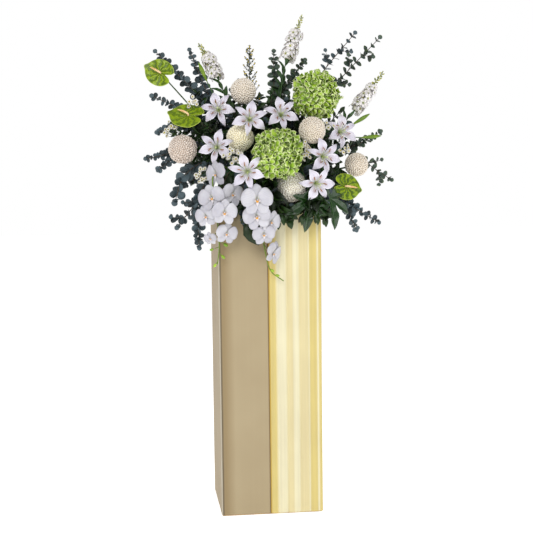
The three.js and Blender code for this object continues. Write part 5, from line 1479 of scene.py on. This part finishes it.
def makeLilyStems():
    draw = random.Random(71)
    green = makeSkinFinish("lilyStem", (112, 146, 66), (62, 96, 40), 30.0, 0.8, 500.0, 0.5)
    budSkin = makeSkinFinish("lilyBud", (196, 210, 4), (92, 124, 0), 42.0, 1.0, 400.0, 0.4)
    blade = makeLeafFinish("lilyLeaf", (60, 96, 48), (24, 48, 26), (92, 124, 72), 0.35, 1.0, 0.0, 0.5)
    leaf = sheetFromRows("narrowLeaf", lilyStems["leaf"], (1, 0.3, 0, 0.3, 1), 0.012)
    for node, (blooms, buds) in lilyStems["shapes"].items():
        ends = []
        for bloom in blooms:
            place, face, _ = lilies["blooms"][bloom]
            outward = Vector(face).normalized()
            ends.append((Vector(place) * mm - outward * (lilies["depth"] + lilies["under"]) * mm, outward))
        foot, neck = footOf(node, 3)
        end, outward = ends[0]
        tail = Vector((outward.x, outward.y, 0.35)).normalized()
        main = bowFrom(foot, neck, end, tail, 14) + [end + outward * lilyStems["tuck"] * mm]
        parts = [stalk("stem", main, lilyStems["stem"], 2)]
        for spot, way in ends[1:]:
            start = main[len(main) * 5 // 9]
            bow = spot - way * 22 * mm
            branch = interpolate_bezier(start, start.lerp(spot, 0.45) + Vector((0, 0, 6 * mm)), bow, spot, 9)
            branch.append(spot + way * lilyStems["tuck"] * mm)
            parts.append(stalk("branch", branch, lilyStems["branch"], 2))
        closed = []
        for bud in buds:
            spot = Vector(bud) * mm
            start = main[len(main) * 2 // 3]
            out = (spot - start).normalized()
            line = [start, start.lerp(spot, 0.5) + Vector((0, 0, 4 * mm)), spot - out * 30 * mm]
            parts.append(stalk("budStalk", smoothPath(line, 4), lilyStems["budStalk"]))
            closed.append(tubeThrough("lilyBud", [spot + out * far * mm for far, _ in lilyStems["bud"]],
                                      [radius * mm for _, radius in lilyStems["bud"]], 3))
        dress(node + "_stalks", parts, green, "lily_green", node)
        if closed:
            dress(node + "_buds", closed, budSkin, "lily_green")
        leaves = leafAlong(main, leaf, lilyStems["leafLength"], 0.35, 17, 0.6, draw, (0.1, 0.8), 0.9, True)
        dress(node + "_leaves", leaves, blade, "lily_green")
    return leaf, blade


# Daisies and the feathery filler

daisies = {
    "petals": 11, "radius": 7.4, "stem": (1.8, 1.3), "fork": (1.3, 1.1), "twig": (0.8, 0.8),
    "petal": ((0.2, 0.0, 0.1, 0.0), (0.65, 0.05, 0.19, 0.02), (1.0, 0.0, 0.1, 0.0)),
    "heads": {
        "daisy_spray_1": ((-112, -182, 1162), (-128, -188, 1146), (-106, -190, 1142), (-216, -142, 1098),
                          (-210, -150, 1076)),
        "daisy_spray_2": ((110, -178, 1184), (124, -172, 1166), (108, -184, 1152), (200, -118, 1242),
                          (248, -135, 1172)),
        "daisy_spray_3": ((-300, -68, 1250), (-310, -62, 1232), (-226, -70, 1326)),
    },
    "company": (6, 19.0),  # more heads round each one, and how far off
}


def makeDaisies(greenStem):
    draw = random.Random(83)
    petalFinish = makePetalFinish("daisyPetal", (240, 237, 230), (212, 206, 194), (196, 194, 140), 4.0, 0.3,
                                  0.5, 0.3)
    eyeSkin = makeSkinFinish("daisyEye", (198, 178, 34), (130, 124, 16), 200.0, 1.0, 2600.0, 0.8, 0.0008)
    petal = sheetFromRows("daisyPetal", daisies["petal"], (1, 0, 1), 0.05)
    ring = joinPieces("daisyRing", [copyTo(petal, Matrix.Rotation(2 * math.pi * i / daisies["petals"], 4, "Z"))
                                    for i in range(daisies["petals"])])
    eye = bead("daisyEye", (0.36, 0.36, 0.24), (0, 0, 0.08), 10, 6)
    for node, heads in daisies["heads"].items():
        middle = sum((Vector(h) for h in heads), Vector()) / len(heads) * mm
        end = middle.lerp(rootPoint, 0.4 if node == "daisy_spray_1" else 0.35)
        outward = Vector((middle.x * 3, middle.y * 5, 0.4)).normalized()
        wood = [stemTo("daisyStem", node, end, outward, daisies["stem"])]
        rings, eyes = [], []
        for head in heads:
            centre = Vector(head) * mm
            count, spread = daisies["company"]
            spots = [centre] + [centre + Vector((draw.uniform(-1, 1), draw.uniform(-0.3, 0.6),
                                                 draw.uniform(-1, 1)))
                                * spread * mm for _ in range(count)]
            fork = centre.lerp(end, 0.35) + Vector((0, 0.01, -0.006))
            bend = end.lerp(fork, 0.5) + Vector((0, 0.004, 0))
            wood.append(stalk("fork", smoothPath([end, bend, fork], 3), daisies["fork"]))
            for spot in spots:
                face = Vector((spot.x * 2.5 + draw.uniform(-0.5, 0.5), -1,
                               0.3 + draw.uniform(-0.4, 0.5))).normalized()
                size = daisies["radius"] * draw.uniform(0.75, 1.1) * mm
                turn = facing(spot, face, draw.uniform(0, 60), size)
                rings.append(copyTo(ring, turn, draw.uniform(0.4, 1.0)))
                eyes.append(copyTo(eye, turn, draw.random()))
                twig = interpolate_bezier(fork, fork.lerp(spot, 0.5), spot - face * 9 * mm, spot, 5)
                wood.append(stalk("twig", twig, daisies["twig"]))
        dress(node + "_petals", rings, petalFinish, "daisy_petal", node)
        dress(node + "_eyes", eyes, eyeSkin, "daisy_petal")
        dress(node + "_stems", wood, greenStem, "daisy_petal")
    discard(petal, ring, eye)


filler = {
    "line": ((-32, 25, 1280), (-36, 30, 1400), (-34, 40, 1502)), "stem": (2.0, 0.9),
    "twigs": 34, "from": 0.45, "twigLength": (14, 58), "leaf": 9.5, "bud": 2.7,
    "blade": ((0.0, 0.0, 0.04, 0.0), (0.3, 0.08, 0.26, 0.04), (0.7, 0.05, 0.22, 0.03), (1.0, -0.08, 0.03, 0.0)),
}


def makeFiller():
    draw = random.Random(97)
    green = makeLeafFinish("fillerLeaf", (46, 70, 28), (16, 32, 12), (66, 90, 40), 0.5, 1.0, 0.0, 0.3)
    yellow = makeSkinFinish("fillerBud", (216, 186, 44), (156, 140, 24), 300.0, 1.0)
    main = pathFrom("filler_spray", filler["line"], 8)
    wood = [stalk("fillerStem", main, filler["stem"])]
    bud = bead("fillerBud", Vector((1, 1, 1)) * filler["bud"] * mm, segments=6, rings=4)
    leaf = sheetFromRows("fillerLeaf", filler["blade"], (1, 0, 1), 0.03)
    leaves, buds = [], []
    stops = walk(main, lengthOf(main) * (1 - filler["from"]) / filler["twigs"], filler["from"], 0.99)
    for number, (place, way, share) in enumerate(stops):
        out = spiralOut(way, number)
        reach = (filler["twigLength"][1] + (filler["twigLength"][0] - filler["twigLength"][1]) * share) * mm
        tip = place + (out + way * 1.1).normalized() * reach
        twig = [place, place.lerp(tip, 0.5) + out * 2 * mm, tip]
        wood.append(tubeThrough("fillerTwig", twig, (0.7 * mm, 0.6 * mm, 0.5 * mm), 0))
        leaves += leafAlong(twig, leaf, filler["leaf"], 0.15, 6, 0.3, draw, (0.1, 0.8), 0.8)
        for spot in (tip, place.lerp(tip, draw.uniform(0.5, 0.75)))[:1 + number % 2]:
            buds.append(copyTo(bud, Matrix.Translation(spot), draw.random()))
    dress("filler_leaves", leaves + wood, green, "filler_green", "filler_spray")
    dress("filler_buds", buds, yellow, "filler_green")
    discard(bud, leaf)


# Dark greenery that fills the room between the blooms and hides the tray

greenery = {
    "sprays": 96, "rimSprays": 22, "stem": (1.9, 1.0), "leaf": (36.0, 52.0), "pitch": 16.0, "from": 0.25,
    "rimExtra": ((56, 8), (98, 16), (136, 2), (166, 22)),  # more of them between the palm leaves: x and drop
    "dome": (262, 240), "domeFoot": 1112, "lowest": 1040,  # half width and height of the dome of tips
    "rimFrom": -150, "rimWidth": 362,
    "ball": (74, 58, 62),  # the low ball's x, how near it a stem may start, and how far aside it then goes
    "extra": ((86, 15, 1330), (104, 25, 1296), (120, 30, 1262), (232, 25, 1332), (258, 10, 1292),
              (286, 0, 1252), (272, 0, 1204), (302, 10, 1178), (-70, 40, 1392), (-212, 25, 1352),
              (-232, 5, 1296), (-96, 40, 1362), (-254, 5, 1242), (-284, -5, 1226), (-268, 10, 1214),
              (222, 10, 1130), (238, -5, 1104)),
    "lone": ((-76, -198, 950), (0.5, -0.1, -1), (0.1, -1, 0.25), 84),  # one broad leaf between the orchids
    "broad": ((0.0, 0.0, 0.03, 0.0), (0.14, 0.05, 0.17, 0.04), (0.4, 0.09, 0.27, 0.05),
              (0.68, 0.06, 0.22, 0.04), (0.9, -0.04, 0.09, 0.02), (1.0, -0.1, 0.012, 0.0)),
}


def greenTargets(draw):
    # A half dome of tips behind the blooms: wide at the rim of the plinth, lower at the back
    targets = []
    for i in range(greenery["sprays"]):
        share = (i + 0.5) / greenery["sprays"]
        angle = math.radians(-100 + 200 * ((i * goldenShare) % 1.0))
        reach = 0.45 + 0.55 * math.sqrt(share)
        x = greenery["dome"][0] * math.sin(angle) * reach
        z = greenery["domeFoot"] + greenery["dome"][1] * math.cos(angle) * reach + draw.uniform(-15, 15)
        y = -20 - 95 * (1 - reach * 0.6) * draw.uniform(0.3, 1.0) if i % 4 else draw.uniform(20, 80)
        targets.append(Vector((x, y, max(z, greenery["lowest"]))) * mm)
    return targets + inMetres(greenery["extra"])


def rimPath(x, drop, out):  # over the front of the plinth, past the low ball there
    ball, near, aside = greenery["ball"]
    start = x if abs(x - ball) > near else ball + aside * (1 if x > ball else -1)
    points = ((0.6 * start, -88, 1116), (0.85 * start, -140, 1096), (start, -178, 1040),
              (0.25 * start + 0.75 * x, -186, 1000), (1.02 * x, -190 - out, 980 - drop))
    return smoothPath(inMetres(points), 4)


def rimPaths(draw):
    paths = []
    for i in range(greenery["rimSprays"]):
        x = greenery["rimFrom"] + greenery["rimWidth"] * ((i * goldenShare) % 1.0)
        drop = draw.uniform(0, 60) if x > 10 else draw.uniform(0, 45)
        path = rimPath(x, drop, draw.uniform(0, 22))
        if not any((spot - centre).length < radius * 0.9 for spot in path for centre, radius in bloomSpots):
            paths.append(path)
    return paths


def makeGreenery(roundLeaf, slate, redStem):
    draw = random.Random(101)
    dark = makeLeafFinish("darkLeaf", (36, 64, 18), (6, 16, 4), (60, 90, 34), 0.38, 8.0, 5.0, 0.4)
    broad = sheetFromRows("broadLeaf", greenery["broad"], (1, 0, 1), 0.016)
    wood, leaves, rounds = [], [], []
    for number, target in enumerate(greenTargets(draw)):
        start = Vector((max(-0.1, min(0.1, target.x * 0.35)), max(-0.06, min(0.07, target.y * 0.5)), 1.118))
        lift = Vector((target.x * 0.2, 0, 0.07))
        path = interpolate_bezier(start, start + lift, target - (target - start) * 0.3, target, 12)
        wood.append(stalk("greenStem", path, greenery["stem"], 0))
        length = draw.uniform(*greenery["leaf"])
        if number % 3 == 2:
            rounds += leafAlong(path, roundLeaf, 27, greenery["from"], 17, 1.2, draw, (0.0, 0.7))
        else:
            leaves += leafAlong(path, broad, length, greenery["from"], greenery["pitch"], 1.2, draw,
                                (0.0, 0.8), 0.5)
    for number, path in enumerate(rimPaths(draw)):
        if number % 2 and path[-1].x > 0.18:  # it would lie over the anthurium there
            continue
        if number % 2 and path[-1].x > 0.06:
            path = path[:-4]
        wood.append(stalk("rimStem", path, greenery["stem"]))
        if number % 2:
            rounds += leafAlong(path, roundLeaf, 34, 0.3, 20, 1.2, draw, (0.0, 0.8))
        else:
            leaves += leafAlong(path, broad, draw.uniform(52, 68), 0.3, 22, 1.0, draw, (0.0, 0.8), 1.0)
    for x, drop in greenery["rimExtra"]:
        path = rimPath(x, drop, 10)
        wood.append(stalk("rimStem", path, greenery["stem"]))
        leaves += leafAlong(path, broad, 60, 0.45, 18, 1.0, draw, (0.0, 0.6), 1.0)
    place, along, face, size = greenery["lone"]
    lone = growing(Vector(place) * mm, along, face, size * mm) @ Matrix.Diagonal((1.5, 1, 1, 1))
    leaves.append(copyTo(broad, lone, 0.4))
    dress("greenery_stems", wood, redStem, "fatsia_leaf")
    dress("greenery_broad", leaves, dark, "fatsia_leaf")
    dress("greenery_round", rounds, slate, "eucalyptus_leaf")
    discard(broad)


roundLeaf, slateLeaf, redStem = makeEucalyptus()
print("eucalyptus done")
palmLeaf = makePalms(greenStem)
print("palm leaves done")
narrowLeaf, lilyBlade = makeLilyStems()
print("lily stems done")
makeStocks(greenStem, narrowLeaf, lilyBlade)
print("stocks done")
makeDaisies(greenStem)
makeFiller()
print("daisies and filler done")
makeGreenery(roundLeaf, slateLeaf, redStem)
print("greenery done")
discard(roundLeaf, palmLeaf, narrowLeaf)
